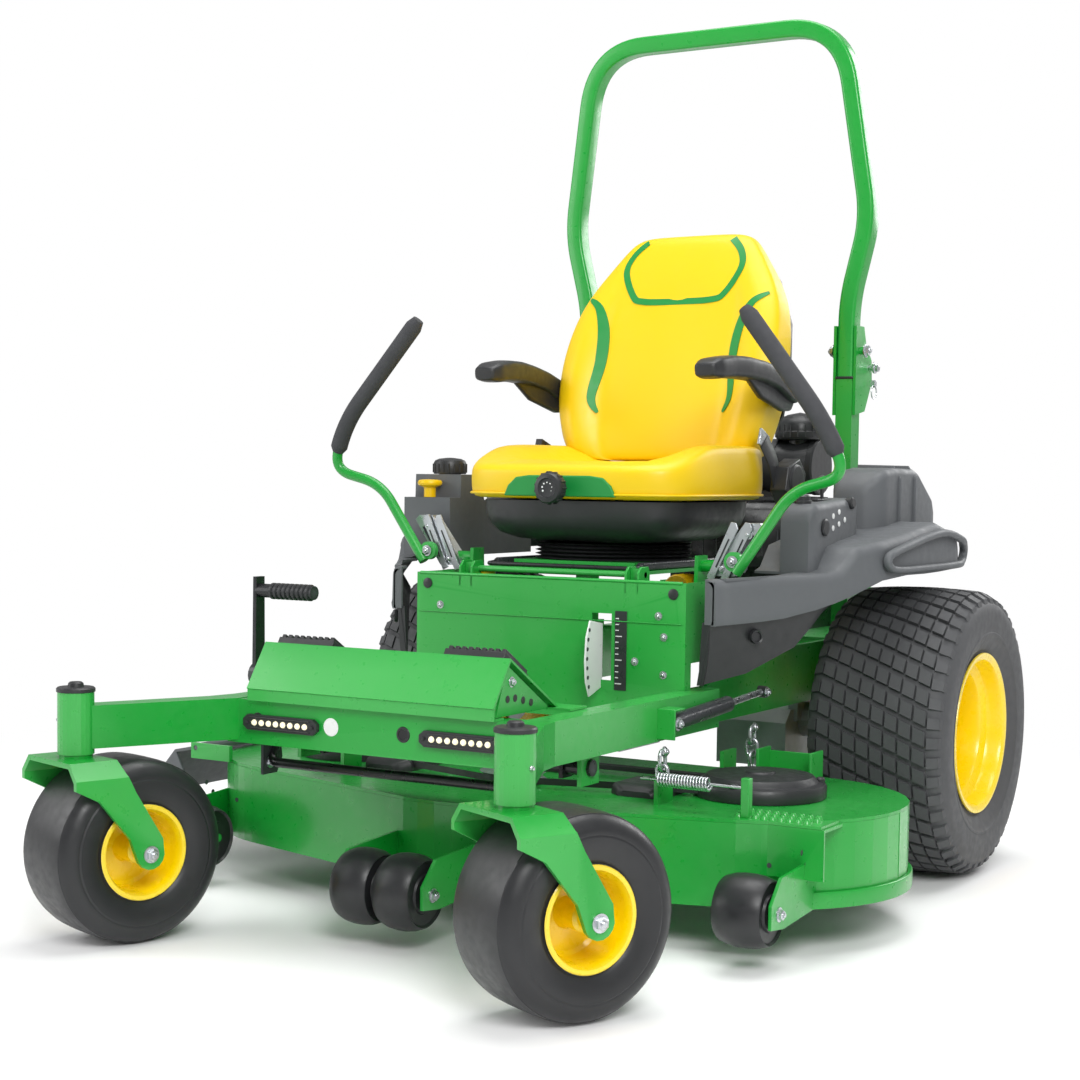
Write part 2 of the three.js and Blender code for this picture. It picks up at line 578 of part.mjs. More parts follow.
function casterWheel(side, group) {
  const center = [0, CASTER_TRAIL, CASTER_TYRE_RADIUS];
  const seat = CASTER_BEAD_RADIUS;
  const edge = CASTER_TYRE_WIDTH * 0.43 + GAP;
  const bore = CASTER_AXLE_RADIUS + RUNNING_CLEARANCE;
  const tyre = tyreSection(seat + GAP, CASTER_FLANGE_RADIUS, CASTER_TYRE_RADIUS, CASTER_TYRE_WIDTH, 12);
  piece(group, `${side}_caster_tyre`, RUBBER, turned("x", center, tyre, CASTER_SIDES));
  const flange = CASTER_FLANGE_RADIUS;
  const outside = [
    [flange, edge + 5], [flange, edge + 1], [seat, edge], [seat, -edge], [flange, -edge - 1],
    [flange, -edge - 5],
  ];
  const inside = [
    [seat - 4, -edge - 4], [seat - 5, -24], [24, -12], [22, -FORK_INNER + 3], [bore, -FORK_INNER + 3],
    [bore, FORK_INNER - 3], [22, FORK_INNER - 3], [24, 12], [seat - 5, 24], [seat - 4, edge + 4],
  ];
  const rim = [...outside, ...inside, outside[0]];
  piece(group, `${side}_caster_rim`, YELLOW, turned("x", center, rim, CASTER_SIDES));
}

function caster(side, half) {
  const swivel = new THREE.Group();
  swivel.position.set(CASTER_X, CASTER_Y, 0);
  const angle = side === "left" ? -LEFT_CASTER_SWIVEL : RIGHT_CASTER_SWIVEL;
  swivel.rotation.z = THREE.MathUtils.degToRad(angle);
  half.add(swivel);
  casterFork(side, swivel);
  casterWheel(side, swivel);
}

// ---- roll bar --------------------------------------------------------------

const ROPS_PLATE = 6;
const ROPS_CHEEK_GAP = 1.5; // between a post's plates and the hoop that folds between them
const ROPS_BOLT_RADIUS = 8;
const ROPS_PIN = { y: ROPS_Y + 58, z: ROPS_HINGE_Z - 34, radius: 7 };

function ropsPost(side, half) {
  const [x0, x1] = [ROPS_X - ROPS_WIDTH / 2, ROPS_X + ROPS_WIDTH / 2];
  const [y0, y1] = [ROPS_Y - ROPS_DEPTH / 2, ROPS_Y + ROPS_DEPTH / 2];
  const wall = ROPS_WALL;
  const post = cut(
    block(x0, x1, y0, y1, SIDE_PLATE_TOP + 10, ROPS_POST_TOP),
    block(x0 + wall, x1 - wall, y0 + wall, y1 - wall, SIDE_PLATE_TOP + 30, ROPS_POST_TOP + 1),
  );
  const foot = block(SIDE_PLATE_OUTER_X + GAP, x1, y0 - 25, y1 + 25, RAIL_BOTTOM + 5, SIDE_PLATE_TOP + 12);
  const lobe = [
    [y0, 965], [y1 + 12, 975], [y1 + 52, 1040], [y1 + 48, 1088], [y1 + 14, 1122], [y1, 1160], [y0, 1160],
  ];
  const outside = x1 + ROPS_CHEEK_GAP;
  const inside = x0 - ROPS_CHEEK_GAP;
  const plates = [
    prism("x", lobe, outside, outside + ROPS_PLATE),
    prism("x", lobe, inside - ROPS_PLATE, inside),
  ];
  const pads = [x0, x1].map((x) => block(x - 2, x + 2, y0 + 2, y1 - 2, 975, ROPS_POST_TOP - 6));
  const bolt = rod("x", [0, ROPS_Y, ROPS_HINGE_Z], ROPS_BOLT_RADIUS, x0 - 16, x1 + 22, 14);
  const pinHole = rod("x", [0, ROPS_PIN.y, ROPS_PIN.z], ROPS_PIN.radius + RUNNING_CLEARANCE, x1, x1 + 20, 14);
  piece(half, `${side}_rops_post`, GREEN, cut(join(post, foot, ...plates, ...pads, bolt), pinHole));
  const pin = join(
    rod("x", [0, ROPS_PIN.y, ROPS_PIN.z], ROPS_PIN.radius, outside + 1, outside + 19, 14),
    rod("x", [0, ROPS_PIN.y, ROPS_PIN.z], 12, outside + ROPS_PLATE + GAP, outside + 23, 14),
  );
  piece(half, `${side}_rops_pin`, STEEL, pin);
}

const HOOP_PITCH = 60; // length of the bent tube between two of its cross sections

function ropsHoop() {
  const bottom = [ROPS_X, ROPS_Y, ROPS_POST_TOP + 6];
  const leg = (sign) => [
    [sign * ROPS_X, bottom[1], bottom[2]], [sign * ROPS_X, ROPS_Y, 1215, 50],
    [sign * 369, ROPS_Y - 2, 1394, 60], [sign * 306, 78, ROPS_TOP, 130],
  ];
  const path = route([...leg(1), ...leg(-1).reverse()]);
  const section = rectangle(ROPS_DEPTH, ROPS_WIDTH);
  const hollow = rectangle(ROPS_DEPTH - 2 * ROPS_WALL, ROPS_WIDTH - 2 * ROPS_WALL);
  const bore = rod("x", [0, ROPS_Y, ROPS_HINGE_Z], ROPS_BOLT_RADIUS + RUNNING_CLEARANCE, -400, 400, 14);
  const steps = Math.round(path.getLength() / HOOP_PITCH);
  piece(mower, "rops_hoop", GREEN, cut(tube(path, section, steps, hollow), bore));
}

// ---- controls --------------------------------------------------------------

function lapBar(side, half) {
  const { shaftY, shaftZ, shaftRadius, swingX, swingY, swingZ } = LEVER;
  const channel = [[284, 634], [342, 634], [406, 728], [396, 738], [364, 738]];
  const bracket = cut(
    prism("y", channel, LEVER.front, LEVER.back),
    rod("x", [0, shaftY, shaftZ], shaftRadius + RUNNING_CLEARANCE, 200, 420, 16),
    prism("y", [[346, 668], [356, 662], [388, 712], [378, 718]], LEVER.front - 1, LEVER.back + 1),
  );
  const pivot = rod("y", [swingX - 14, 0, swingZ + 16], 7, swingY - 16, LEVER.front + 2, 12);
  piece(half, `${side}_lever_bracket`, STEEL, join(bracket, pivot));

  const path = route([
    [swingX - 6, swingY - 14, swingZ - 6], [474, swingY - 14, 802, 26], [590, -556, 832, 26],
    [547, -573, 933, 34], [379, -553, 1141],
  ]);
  const eye = rod("y", [swingX - 14, 0, swingZ + 16], 19, swingY - 12, swingY - 2, 16);
  const bore = rod("y", [swingX - 14, 0, swingZ + 16], 7 + RUNNING_CLEARANCE, swingY - 40, swingY + 20, 12);
  const bar = cut(join(tube(path, circle(11, 8), 28), eye), bore);
  piece(half, `${side}_lap_bar`, GREEN, bar);

  const bend = new THREE.Vector3(547, -573, 933);
  const tip = new THREE.Vector3(379, -553, 1141);
  const along = (distance) => bend.clone().add(tip.clone().sub(bend).setLength(distance));
  const reach = bend.distanceTo(tip);
  const sleeve = tube(new THREE.LineCurve3(along(38), along(reach + 6)), circle(18, 12), 1);
  const inside = tube(new THREE.LineCurve3(along(30), along(reach + GAP)), circle(12.2, 12), 1);
  piece(half, `${side}_lap_bar_grip`, FOAM, cut(sleeve, inside));
}

function liftGear() {
  const { y, z, radius } = LIFT_SHAFT;
  const arms = [1, -1].map((sign) => {
    const outline = [
      [y - 20, z - 20], [y + 10, z - 20], [y + 100, z - 8], [y + 100, z + 8], [y + 10, z + 20],
      [y - 20, z + 20],
    ];
    return prism("x", outline, 256, 264).scale(sign, 1, 1);
  });
  const half = RAIL_INNER_X + 24;
  piece(mower, "lift_shaft", BLACK_PAINT, join(rod("x", [0, y, z], radius, -half, half, 16), ...arms));

  const pivot = PEDAL_PIVOT;
  const x = -(RAIL_OUTER_X + 8);
  const arm = [
    [pivot.y - 14, pivot.z], [pivot.y + 14, pivot.z],
    [pivot.y + 12, pivot.z + 184], [pivot.y - 12, pivot.z + 184],
  ];
  const pedal = cut(
    join(
      prism("x", arm, x - 12, x - 4),
      rod("x", [0, pivot.y, pivot.z], 22, x - 16, x + 7.5, 18),
      rod("x", [0, pivot.y, pivot.z + 158], 13, x - 8, -226, 14),
    ),
    rod("x", [0, pivot.y, pivot.z], pivot.radius + RUNNING_CLEARANCE, x - 20, x + 20, 16),
  );
  piece(mower, "lift_pedal", BLACK_PAINT, pedal);
}

// ---- seat ------------------------------------------------------------------

const ARMREST_PIVOT = { y: -110, z: 1004, radius: 9 };

function seat() {
  const column = { at: [0, -370, 0], radius: 45 };
  const base = join(
    block(-178, 178, SEAT_HINGE.y, -140, SEAT_HINGE.z - 3, SEAT_HINGE.z + 4),
    block(-140, 140, -540, -200, SEAT_HINGE.z, 654),
    rod("x", [0, SEAT_HINGE.y, SEAT_HINGE.z], SEAT_HINGE.radius, -206, 206, 12),
  );
  const socket = rod("z", column.at, column.radius + RUNNING_CLEARANCE, 600, 700, 20);
  piece(mower, "seat_base", GREEN, cut(base, socket));

  const panTop = CUSHION_BOTTOM - GAP;
  const pan = [[-590, panTop], [-130, panTop], [-130, 720], [-200, 690], [-540, 690], [-590, 716]];
  const panPlan = [[-236, -540], [-190, -592], [190, -592], [236, -540], [236, -128], [-236, -128]];
  const shell = common(prism("x", pan, -236, 236), prism("z", panPlan, 680, 780));
  piece(mower, "seat_pan", BLACK_PLASTIC, join(shell, rod("z", column.at, column.radius, 642, 700, 20)));

  const top = CUSHION_BOTTOM + CUSHION_HEIGHT;
  const round = (radius) => [
    ...arc(SEAT_HALF - radius, SEAT_FRONT_Y + radius, radius, -90, 0, 4),
    ...arc(SEAT_HALF - 40, -140, 40, 0, 90, 3),
    ...arc(-SEAT_HALF + 40, -140, 40, 90, 180, 3),
    ...arc(-SEAT_HALF + radius, SEAT_FRONT_Y + radius, radius, 180, 270, 4),
  ];
  piece(mower, "seat_cushion", SEAT_YELLOW, prism("z", round(90), CUSHION_BOTTOM, top));

  const lean = [
    [-206, top + GAP], [-170, 1000], [-118, 1200], [-60, 1330], [-20, 1362], [20, 1340], [10, 1200],
    [-30, 1000], [-70, top + GAP],
  ];
  const face = [
    [-235, 860], [235, 860], [256, 940], [262, 1040], [256, 1160], [225, 1250], [150, 1340],
    [110, 1364], [-110, 1364], [-150, 1340], [-225, 1250], [-256, 1160], [-262, 1040], [-256, 940],
  ];
  const back = common(prism("x", lean, -270, 270), prism("y", face, -300, 100));
  const { y, z, radius } = ARMREST_PIVOT;
  piece(mower, "seat_back", SEAT_YELLOW, join(back, rod("x", [0, y, z], radius, -292, 292, 14)));

  const knob = [[0, 40], [24, 40], [30, 34], [30, 12], [12, 8], [12, GAP], [0, GAP]];
  const turnedKnob = turned("y", [0, 0, 0], knob, 20).rotateX(Math.PI).translate(0, SEAT_FRONT_Y, 801);
  piece(mower, "suspension_knob", BLACK_PLASTIC, turnedKnob);
}

function armrest(side, half) {
  const { y, z, radius } = ARMREST_PIVOT;
  const outline = [
    [-474, 1034], [-470, 1052], [-450, 1066], [-300, 1062], [-180, 1040], [y + 26, z + 18], [y + 26, z - 18],
    [y - 20, z - 26], [-300, 1016], [-450, 1022],
  ];
  const plan = [
    [232, -474], [284, -474], [290, -440], [296, -300], [296, -70], [266, -70], [266, -300], [230, -350],
  ];
  const arm = common(prism("x", outline, 220, 300), prism("z", plan, 960, 1080));
  const bore = rod("x", [0, y, z], radius + RUNNING_CLEARANCE, 200, 320, 14);
  piece(half, `${side}_armrest`, BLACK_PLASTIC, cut(arm, bore));
}

// ---- deck ------------------------------------------------------------------

const deck = new THREE.Group();
deck.position.x = DECK_X;
mower.add(deck);

// The side and centre shells share a straight front edge that touches both circles.
const spindles = {
  left: [SPINDLE_SPACING, SIDE_SPINDLE_Y],
  center: [0, CENTER_SPINDLE_Y],
  right: [-SPINDLE_SPACING, SIDE_SPINDLE_Y],
};
const setBack = Math.atan2(SIDE_SPINDLE_Y - CENTER_SPINDLE_Y, SPINDLE_SPACING);
const frontTangent = THREE.MathUtils.radToDeg(setBack) - 90;

const frontEdge = (radius, from, to) => [
  ...arc(...spindles.left, radius, from, frontTangent, 8),
  ...arc(...spindles.center, radius, frontTangent, -180 - frontTangent, 4),
  ...arc(...spindles.right, radius, -180 - frontTangent, to, 6),
];
const rearEdge = (radius, from, to) => [
  ...arc(...spindles.left, radius, from, 90, 8),
  ...arc(...spindles.right, radius, 90, to, 5),
];
const strip = (edge, ...ends) => [
  ...edge(DECK_SHELL_RADIUS, ...ends),
  ...edge(DECK_SHELL_RADIUS - DECK_WALL, ...ends).reverse(),
];

const SPINDLE_RADIUS = 14;
const HOUSING_RADIUS = 55;

function deckTop() {
  const outline = [
    ...frontEdge(DECK_SHELL_RADIUS, 0, -180),
    ...arc(...spindles.right, DECK_SHELL_RADIUS, 180, 90, 8),
    ...arc(...spindles.left, DECK_SHELL_RADIUS, 90, 0, 8).slice(0, -1),
  ];
  const shapes = [prism("z", outline, DECK_TOP - DECK_WALL, DECK_TOP)];
  const bores = [];
  for (const [x, y] of Object.values(spindles)) {
    shapes.push(rod("z", [x, y, 0], HOUSING_RADIUS, 160, DECK_TOP, 20));
    bores.push(rod("z", [x, y, 0], SPINDLE_RADIUS + RUNNING_CLEARANCE, 100, 300, 14));
  }
  for (const [y0, y1] of [[-870, -860], [-440, -430]]) {
    const lug = block(CHUTE_HINGE.x - 12, CHUTE_HINGE.x + 90, y0, y1, DECK_TOP - 4, CHUTE_HINGE.z + 10);
    shapes.push(lug);
    const hole = CHUTE_HINGE.radius + RUNNING_CLEARANCE;
    bores.push(rod("y", [CHUTE_HINGE.x, 0, CHUTE_HINGE.z], hole, -900, -400, 12));
  }
  const hangers = [[SPINDLE_SPACING - 110, -820], [-SPINDLE_SPACING + 110, -820], [300, -440], [-300, -440]];
  for (const [x, y] of hangers) shapes.push(block(x - 4, x + 4, y - 30, y + 30, DECK_TOP - 3, 284));
  piece(deck, "deck_top", GREEN, cut(join(...shapes), ...bores));
}

const ROLLER_AXLE_RADIUS = 8;

function rollerBracket(plateX, axleFrom, y, skirtY) {
  const outline = [
    [y - 30, ROLLER_Z - 22], [y - 30, ROLLER_Z + 18], [y + 10, ROLLER_Z + 60], [skirtY, ROLLER_Z + 70],
    [skirtY, ROLLER_Z - 18], [y + 20, ROLLER_Z - 28],
  ];
  const plate = prism("x", outline, plateX, plateX + 6);
  const axleEnds = [axleFrom, plateX + 3].sort((a, b) => a - b);
  const axle = rod("x", [0, y, ROLLER_Z], ROLLER_AXLE_RADIUS, ...axleEnds, 12);
  return [plate, axle];
}

function deckSkirts() {
  const top = DECK_TOP - DECK_WALL - GAP;
  const stepY = SIDE_SPINDLE_Y - DECK_SHELL_RADIUS + 31;
  const stepSpan = [SPINDLE_SPACING + 45, SPINDLE_SPACING + DECK_SHELL_RADIUS - 45];
  const front = join(
    prism("z", strip(frontEdge, -1, -140), DECK_BOTTOM, top),
    ...rollerBracket(90, -96, FRONT_ROLLER_Y, CENTER_SPINDLE_Y - DECK_SHELL_RADIUS + 25),
    ...rollerBracket(-96, 0, FRONT_ROLLER_Y, CENTER_SPINDLE_Y - DECK_SHELL_RADIUS + 25),
    ...rollerBracket(SIDE_ROLLER_X + 50, SIDE_ROLLER_X - 52, SIDE_ROLLER_Y, SIDE_ROLLER_Y + 160),
    ...rollerBracket(-SIDE_ROLLER_X - 56, 52 - SIDE_ROLLER_X, SIDE_ROLLER_Y, SIDE_ROLLER_Y + 160),
    block(...stepSpan, stepY, stepY + 5, 140, top),
    block(...stepSpan, stepY, stepY + 84, top - 5, top),
  );
  const inside = [];
  for (const [x, y] of Object.values(spindles)) {
    inside.push(rod("z", [x, y, 0], DECK_SHELL_RADIUS - DECK_WALL, 60, 300, 40));
  }
  piece(deck, "deck_front_skirt", GREEN, cut(front, ...inside));
  piece(deck, "deck_rear_skirt", GREEN, prism("z", strip(rearEdge, 0, 140), DECK_BOTTOM, top));
}

const CHUTE_HINGE = { x: 23 - SPINDLE_SPACING - DECK_SHELL_RADIUS, z: DECK_TOP + 18, radius: 5 };

function dischargeChute() {
  const { x, z, radius } = CHUTE_HINGE;
  const line = [[x, z], [x - 70, z - 14], [x - 158, 138]];
  const flap = prism("y", sheetOutline(line, 6), -852, -448);
  const wing = [line[1], line[2], [x - 90, 138], [x - 50, 200]];
  const wings = [prism("y", wing, -852, -846), prism("y", wing, -454, -448)];
  const hinge = rod("y", [x, 0, z], radius, -869, -431, 12);
  const knuckle = rod("y", [x, 0, z], radius + 4, -852, -448, 12);
  piece(deck, "discharge_chute", BLACK_PLASTIC, join(flap, ...wings, hinge, knuckle));
}

function blades() {
  for (const [name, [x, y]] of Object.entries(spindles)) {
    const half = BLADE_LENGTH / 2;
    const angle = { left: 0.5, center: 1.1, right: 0.2 }[name];
    const bar = block(-half, half, -30, 30, BLADE_Z - 3, BLADE_Z + 3);
    const disc = rod("z", [0, 0, 0], half, BLADE_Z - 5, BLADE_Z + 5, 48);
    const swept = common(bar, disc).rotateZ(angle).translate(x, y, 0);
    const shaft = rod("z", [x, y, 0], SPINDLE_RADIUS, BLADE_Z - 16, DECK_TOP + 24, 14);
    const collar = rod("z", [x, y, 0], 30, BLADE_Z, 156, 16);
    const pulley = turned("z", [x, y, 0], [
      [0, DECK_TOP + 6], [66, DECK_TOP + 6], [54, DECK_TOP + 14], [66, DECK_TOP + 22], [0, DECK_TOP + 22],
    ], 20);
    piece(deck, `${name}_blade`, STEEL, join(swept, shaft, collar, pulley));
  }
}

function beltCovers() {
  for (const name of ["left", "right"]) {
    const [x, y] = spindles[name];
    const bottom = DECK_TOP + GAP;
    const profile = [
      [124, bottom], [124, bottom + 26], [100, bottom + 40], [0, bottom + 40], [0, bottom + 35],
      [98, bottom + 35], [119, bottom + 23], [119, bottom], [124, bottom],
    ];
    piece(deck, `${name}_belt_cover`, BLACK_PLASTIC, turned("z", [x, y, 0], profile, 28));
  }
}

function rollers() {
  const bore = ROLLER_AXLE_RADIUS + RUNNING_CLEARANCE;
  const barrel = (center, half, radius) => [
    [bore, center - half], [radius * 0.55, center - half], [radius * 0.9, center - half * 0.8],
    [radius, center - half * 0.3], [radius, center + half * 0.3], [radius * 0.9, center + half * 0.8],
    [radius * 0.55, center + half], [bore, center + half],
  ];
  const pair = [...barrel(-45, 38, 68).slice(0, -1), [20, -7], [20, 7], ...barrel(45, 38, 68).slice(1)];
  pair.push(pair[0]);
  piece(deck, "front_rollers", RUBBER, turned("x", [0, FRONT_ROLLER_Y, ROLLER_Z], pair, 18));
  for (const [side, sign] of [["left", 1], ["right", -1]]) {
    const profile = barrel(0, 44, 63);
    profile.push(profile[0]);
    const center = [sign * SIDE_ROLLER_X, SIDE_ROLLER_Y, ROLLER_Z];
    piece(deck, `${side}_side_roller`, RUBBER, turned("x", center, profile, 18));
  }
}

// ---- assembly --------------------------------------------------------------

frontAxle();
rearFrame();
footPlatform();
frontPanel();
headlights();
fuelTank();
throttleLever();
engine();
airCleaner();
ropsHoop();
liftGear();
seat();
deckTop();
deckSkirts();
dischargeChute();
blades();
beltCovers();
rollers();
const pairs = [frameRail, fender, driveUnit, driveWheel, caster, ropsPost, lapBar, armrest];
for (const build of pairs) bothSides(build);

// The part's origin is the middle of its footprint, on the ground.
const bounds = new THREE.Box3().setFromObject(mower, true);
const middle = bounds.getCenter(new THREE.Vector3());
mower.position.set(-middle.x, -middle.y, -bounds.min.z);

export default mower;
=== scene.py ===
# %% [markdown]
# # A zero turn mower, finished piece by piece
# The imported CAD model is the frame: every piece below is placed from its boxes, and most ride one of its
# bodies.
# Lengths inside the helpers are given in millimetres from the middle of the rear axle, on the ground.

import math

import bmesh
import bpy
from mathutils import Matrix, Vector


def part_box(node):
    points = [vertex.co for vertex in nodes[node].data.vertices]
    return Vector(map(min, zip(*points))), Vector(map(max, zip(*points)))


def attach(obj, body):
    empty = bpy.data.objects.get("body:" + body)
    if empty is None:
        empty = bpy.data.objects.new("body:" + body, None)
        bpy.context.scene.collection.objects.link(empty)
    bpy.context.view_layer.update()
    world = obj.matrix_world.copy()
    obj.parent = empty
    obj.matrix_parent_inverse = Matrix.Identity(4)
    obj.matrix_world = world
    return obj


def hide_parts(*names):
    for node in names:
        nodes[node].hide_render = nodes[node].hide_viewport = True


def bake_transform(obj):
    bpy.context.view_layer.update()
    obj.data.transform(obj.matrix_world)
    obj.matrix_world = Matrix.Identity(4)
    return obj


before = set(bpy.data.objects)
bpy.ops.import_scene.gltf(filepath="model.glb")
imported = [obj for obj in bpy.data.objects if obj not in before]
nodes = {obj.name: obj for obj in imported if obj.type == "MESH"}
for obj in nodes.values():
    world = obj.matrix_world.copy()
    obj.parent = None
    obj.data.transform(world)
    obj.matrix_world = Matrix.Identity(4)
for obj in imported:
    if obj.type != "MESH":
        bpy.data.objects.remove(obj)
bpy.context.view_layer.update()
scene = bpy.context.scene

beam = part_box("front_axle")
tyre_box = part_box("left_drive_tyre")
ORIGIN = Vector(((beam[0][0] + beam[1][0]) / 2, (tyre_box[0][1] + tyre_box[1][1]) / 2, 0.0))
MM = 0.001


def at(x, y, z):
    """A place given in millimetres from the rear axle's middle, as a point of the row's frame in metres."""
    return ORIGIN + Vector((x, y, z)) * MM


# %% [markdown]
# ## Materials
# Each surface is a physical shader with a grain at its real size, a slow drift of colour and uneven polish.
# One function builds them all, because real coatings differ in these few numbers more than in kind.

# %% Build the procedural materials


def linear(code):
    """A colour written as six hex digits, turned from sRGB to the linear values that the shader wants."""
    parts = [int(code[i : i + 2], 16) / 255 for i in (0, 2, 4)]
    return tuple(c / 12.92 if c <= 0.04045 else ((c + 0.055) / 1.055) ** 2.4 for c in parts) + (1.0,)


def add(tree, kind, inputs=None, **settings):
    """One node with its settings, its input values, and its links where a value is another node's output."""
    made = tree.nodes.new(kind)
    for key, value in settings.items():
        setattr(made, key, value)
    for key, value in (inputs or {}).items():
        if isinstance(value, bpy.types.NodeSocket):
            tree.links.new(value, made.inputs[key])
        else:
            made.inputs[key].default_value = value
    return made


def surface(name, color, roughness, metallic=0.0, grain_mm=1.0, depth_mm=0.02, cells=False, drift=0.06,
            polish=0.08, coat=0.0, edge_wear_and_highlight=None, stretch=(1, 1, 1), glow=0.0):
    """A shader with a grain, colour that drifts over the piece, uneven polish and optional paler edges,
    partly wear and partly a painted highlight.
    """
    material = bpy.data.materials.new(name)
    material.use_nodes = True
    tree = material.node_tree
    tree.nodes.clear()
    place = add(tree, "ShaderNodeTexCoord").outputs["Object"]
    scaled = add(tree, "ShaderNodeMapping", {"Vector": place, "Scale": stretch}).outputs["Vector"]
    slow = add(tree, "ShaderNodeTexNoise", {"Vector": place, "Scale": 7.0, "Detail": 5.0}).outputs["Fac"]
    spread = add(
        tree, "ShaderNodeTexNoise", {"Vector": scaled, "Scale": 60.0, "Detail": 3.0},
    ).outputs["Fac"]
    base = linear(color)
    dark = tuple(c * (1 - drift) for c in base[:3]) + (1.0,)
    light = tuple(min(1.0, c * (1 + drift)) for c in base[:3]) + (1.0,)
    shade = add(tree, "ShaderNodeMix", {"Factor": slow}, data_type="RGBA")
    shade.inputs["A"].default_value = dark
    shade.inputs["B"].default_value = light
    tint = [s for s in shade.outputs if s.type == "RGBA"][0]
    # paler colour on sharp edges: partly rubbed wear, partly a painted highlight where the edges catch the
    # light
    if edge_wear_and_highlight:
        edge = add(tree, "ShaderNodeNewGeometry").outputs["Pointiness"]
        edge_wear_and_highlight_mask = add(
            tree, "ShaderNodeMapRange", {"Value": edge, "From Min": 0.53, "From Max": 0.62, "To Max": 0.5},
        )
        worn_and_lit_edges = add(
            tree, "ShaderNodeMix", {"Factor": edge_wear_and_highlight_mask.outputs["Result"], "A": (0, 0, 0, 1)}, data_type="RGBA",
        )
        for socket in worn_and_lit_edges.inputs:
            if socket.type == "RGBA" and socket.name == "A":
                tree.links.new(tint, socket)
            elif socket.type == "RGBA" and socket.name == "B":
                socket.default_value = linear(edge_wear_and_highlight)
        tint = [s for s in worn_and_lit_edges.outputs if s.type == "RGBA"][0]
    rough = add(tree, "ShaderNodeMapRange", {
        "Value": spread, "From Min": 0.3, "From Max": 0.7,
        "To Min": max(0.02, roughness - polish), "To Max": min(1.0, roughness + polish),
    }).outputs["Result"]
    frequency = 1000.0 / grain_mm
    if cells:
        height = add(
            tree, "ShaderNodeTexVoronoi", {"Vector": scaled, "Scale": frequency},
        ).outputs["Distance"]
    else:
        height = add(
            tree, "ShaderNodeTexNoise", {"Vector": scaled, "Scale": frequency, "Detail": 2.0},
        ).outputs["Fac"]
    bump = add(
        tree, "ShaderNodeBump", {"Height": height, "Distance": depth_mm * MM, "Strength": 0.6},
    ).outputs["Normal"]
    shader = add(tree, "ShaderNodeBsdfPrincipled", {
        "Base Color": tint, "Roughness": rough, "Metallic": metallic, "Normal": bump,
        "Coat Weight": coat, "Coat Roughness": 0.12, "Emission Strength": glow,
    })
    if glow:
        shader.inputs["Emission Color"].default_value = base
    output = add(tree, "ShaderNodeOutputMaterial")
    tree.links.new(shader.outputs["BSDF"], output.inputs["Surface"])
    return material


# powder-coated steel: fine orange peel under a clear gloss, paler on its edges, partly rubbed paint and
# partly a painted highlight
GREEN = surface("green_powder_coat", "0d9a31", 0.34, grain_mm=2.2, depth_mm=0.05, coat=0.35, edge_wear_and_highlight="4fb85c")
# the baked yellow enamel of the wheels, paler on its edges, partly wear and partly a painted highlight
YELLOW = surface("yellow_enamel", "ffd900", 0.3, grain_mm=2.0, depth_mm=0.04, coat=0.4, edge_wear_and_highlight="ffe873")
# moulded vinyl over foam: pebbled leather grain with a soft satin
VINYL = surface(
    "yellow_vinyl", "efc800", 0.42, grain_mm=1.5, depth_mm=0.09, cells=True, drift=0.03, polish=0.06,
)
# the same vinyl dyed green for the piping and the inset
TRIM = surface("green_vinyl", "158a3c", 0.45, grain_mm=1.5, depth_mm=0.09, cells=True)
# injection-moulded bodywork with a spark-eroded texture
SHELL = surface(
    "textured_black_plastic", "5c5f62", 0.55, grain_mm=1.1, depth_mm=0.12, cells=True, drift=0.05,
)
# smoother moulded plastic for small fittings
PLASTIC = surface("black_plastic", "2a2b2d", 0.42, grain_mm=0.9, depth_mm=0.03)
# tread rubber with a dusty, slightly bloomed face
TYRE = surface("tyre_rubber", "4a4b4d", 0.62, grain_mm=1.6, depth_mm=0.1, drift=0.14, polish=0.1)
# the smooth ribbed rubber of the front wheels, a little shinier
SMOOTH_TYRE = surface("smooth_rubber", "242527", 0.4, grain_mm=2.5, depth_mm=0.05, drift=0.1)
# closed-cell foam of the grips
FOAM = surface("foam_grip", "3d3e41", 0.8, grain_mm=0.8, depth_mm=0.15, cells=True)
# black enamel on brackets and the engine, greyer on its edges, partly rubbed wear and partly a painted
# highlight
BLACK = surface("black_enamel", "17181a", 0.32, grain_mm=2.0, depth_mm=0.03, edge_wear_and_highlight="55585c")
# zinc-plated bolts, pins and chains
ZINC = surface(
    "zinc_plate", "cdd0d4", 0.3, metallic=1.0, grain_mm=0.6, depth_mm=0.02, drift=0.1, polish=0.12,
)
# rolled plate polished along its length
STEEL = surface(
    "brushed_steel", "c4c8cc", 0.34, metallic=0.9, grain_mm=0.5, depth_mm=0.02, stretch=(1, 12, 1),
)
# sand-cast transaxle housings
CAST = surface("cast_aluminium", "9b9fa2", 0.5, metallic=0.8, grain_mm=1.8, depth_mm=0.15, drift=0.12)
# the lamp's small lenses, faintly lit
LENS = surface("led_lens", "fff3d0", 0.15, grain_mm=3.0, depth_mm=0.01, coat=0.6, glow=0.5)
# pale plate and scale
WHITE = surface("white_enamel", "e9ebea", 0.35, grain_mm=2.0, depth_mm=0.02)
# caps and tags in moulded yellow
YELLOW_PLASTIC = surface("yellow_plastic", "f7c800", 0.38, grain_mm=1.0, depth_mm=0.03)
print("materials", len(bpy.data.materials))

# %% [markdown]
# ## Shaping tools
# A section carried along a path makes tubes, rods, piping and springs.
# A turned profile makes wheels and knobs.
# Every piece gets merged corners, outward faces and smooth shading broken at its real edges.

# %% Define the shaping tools


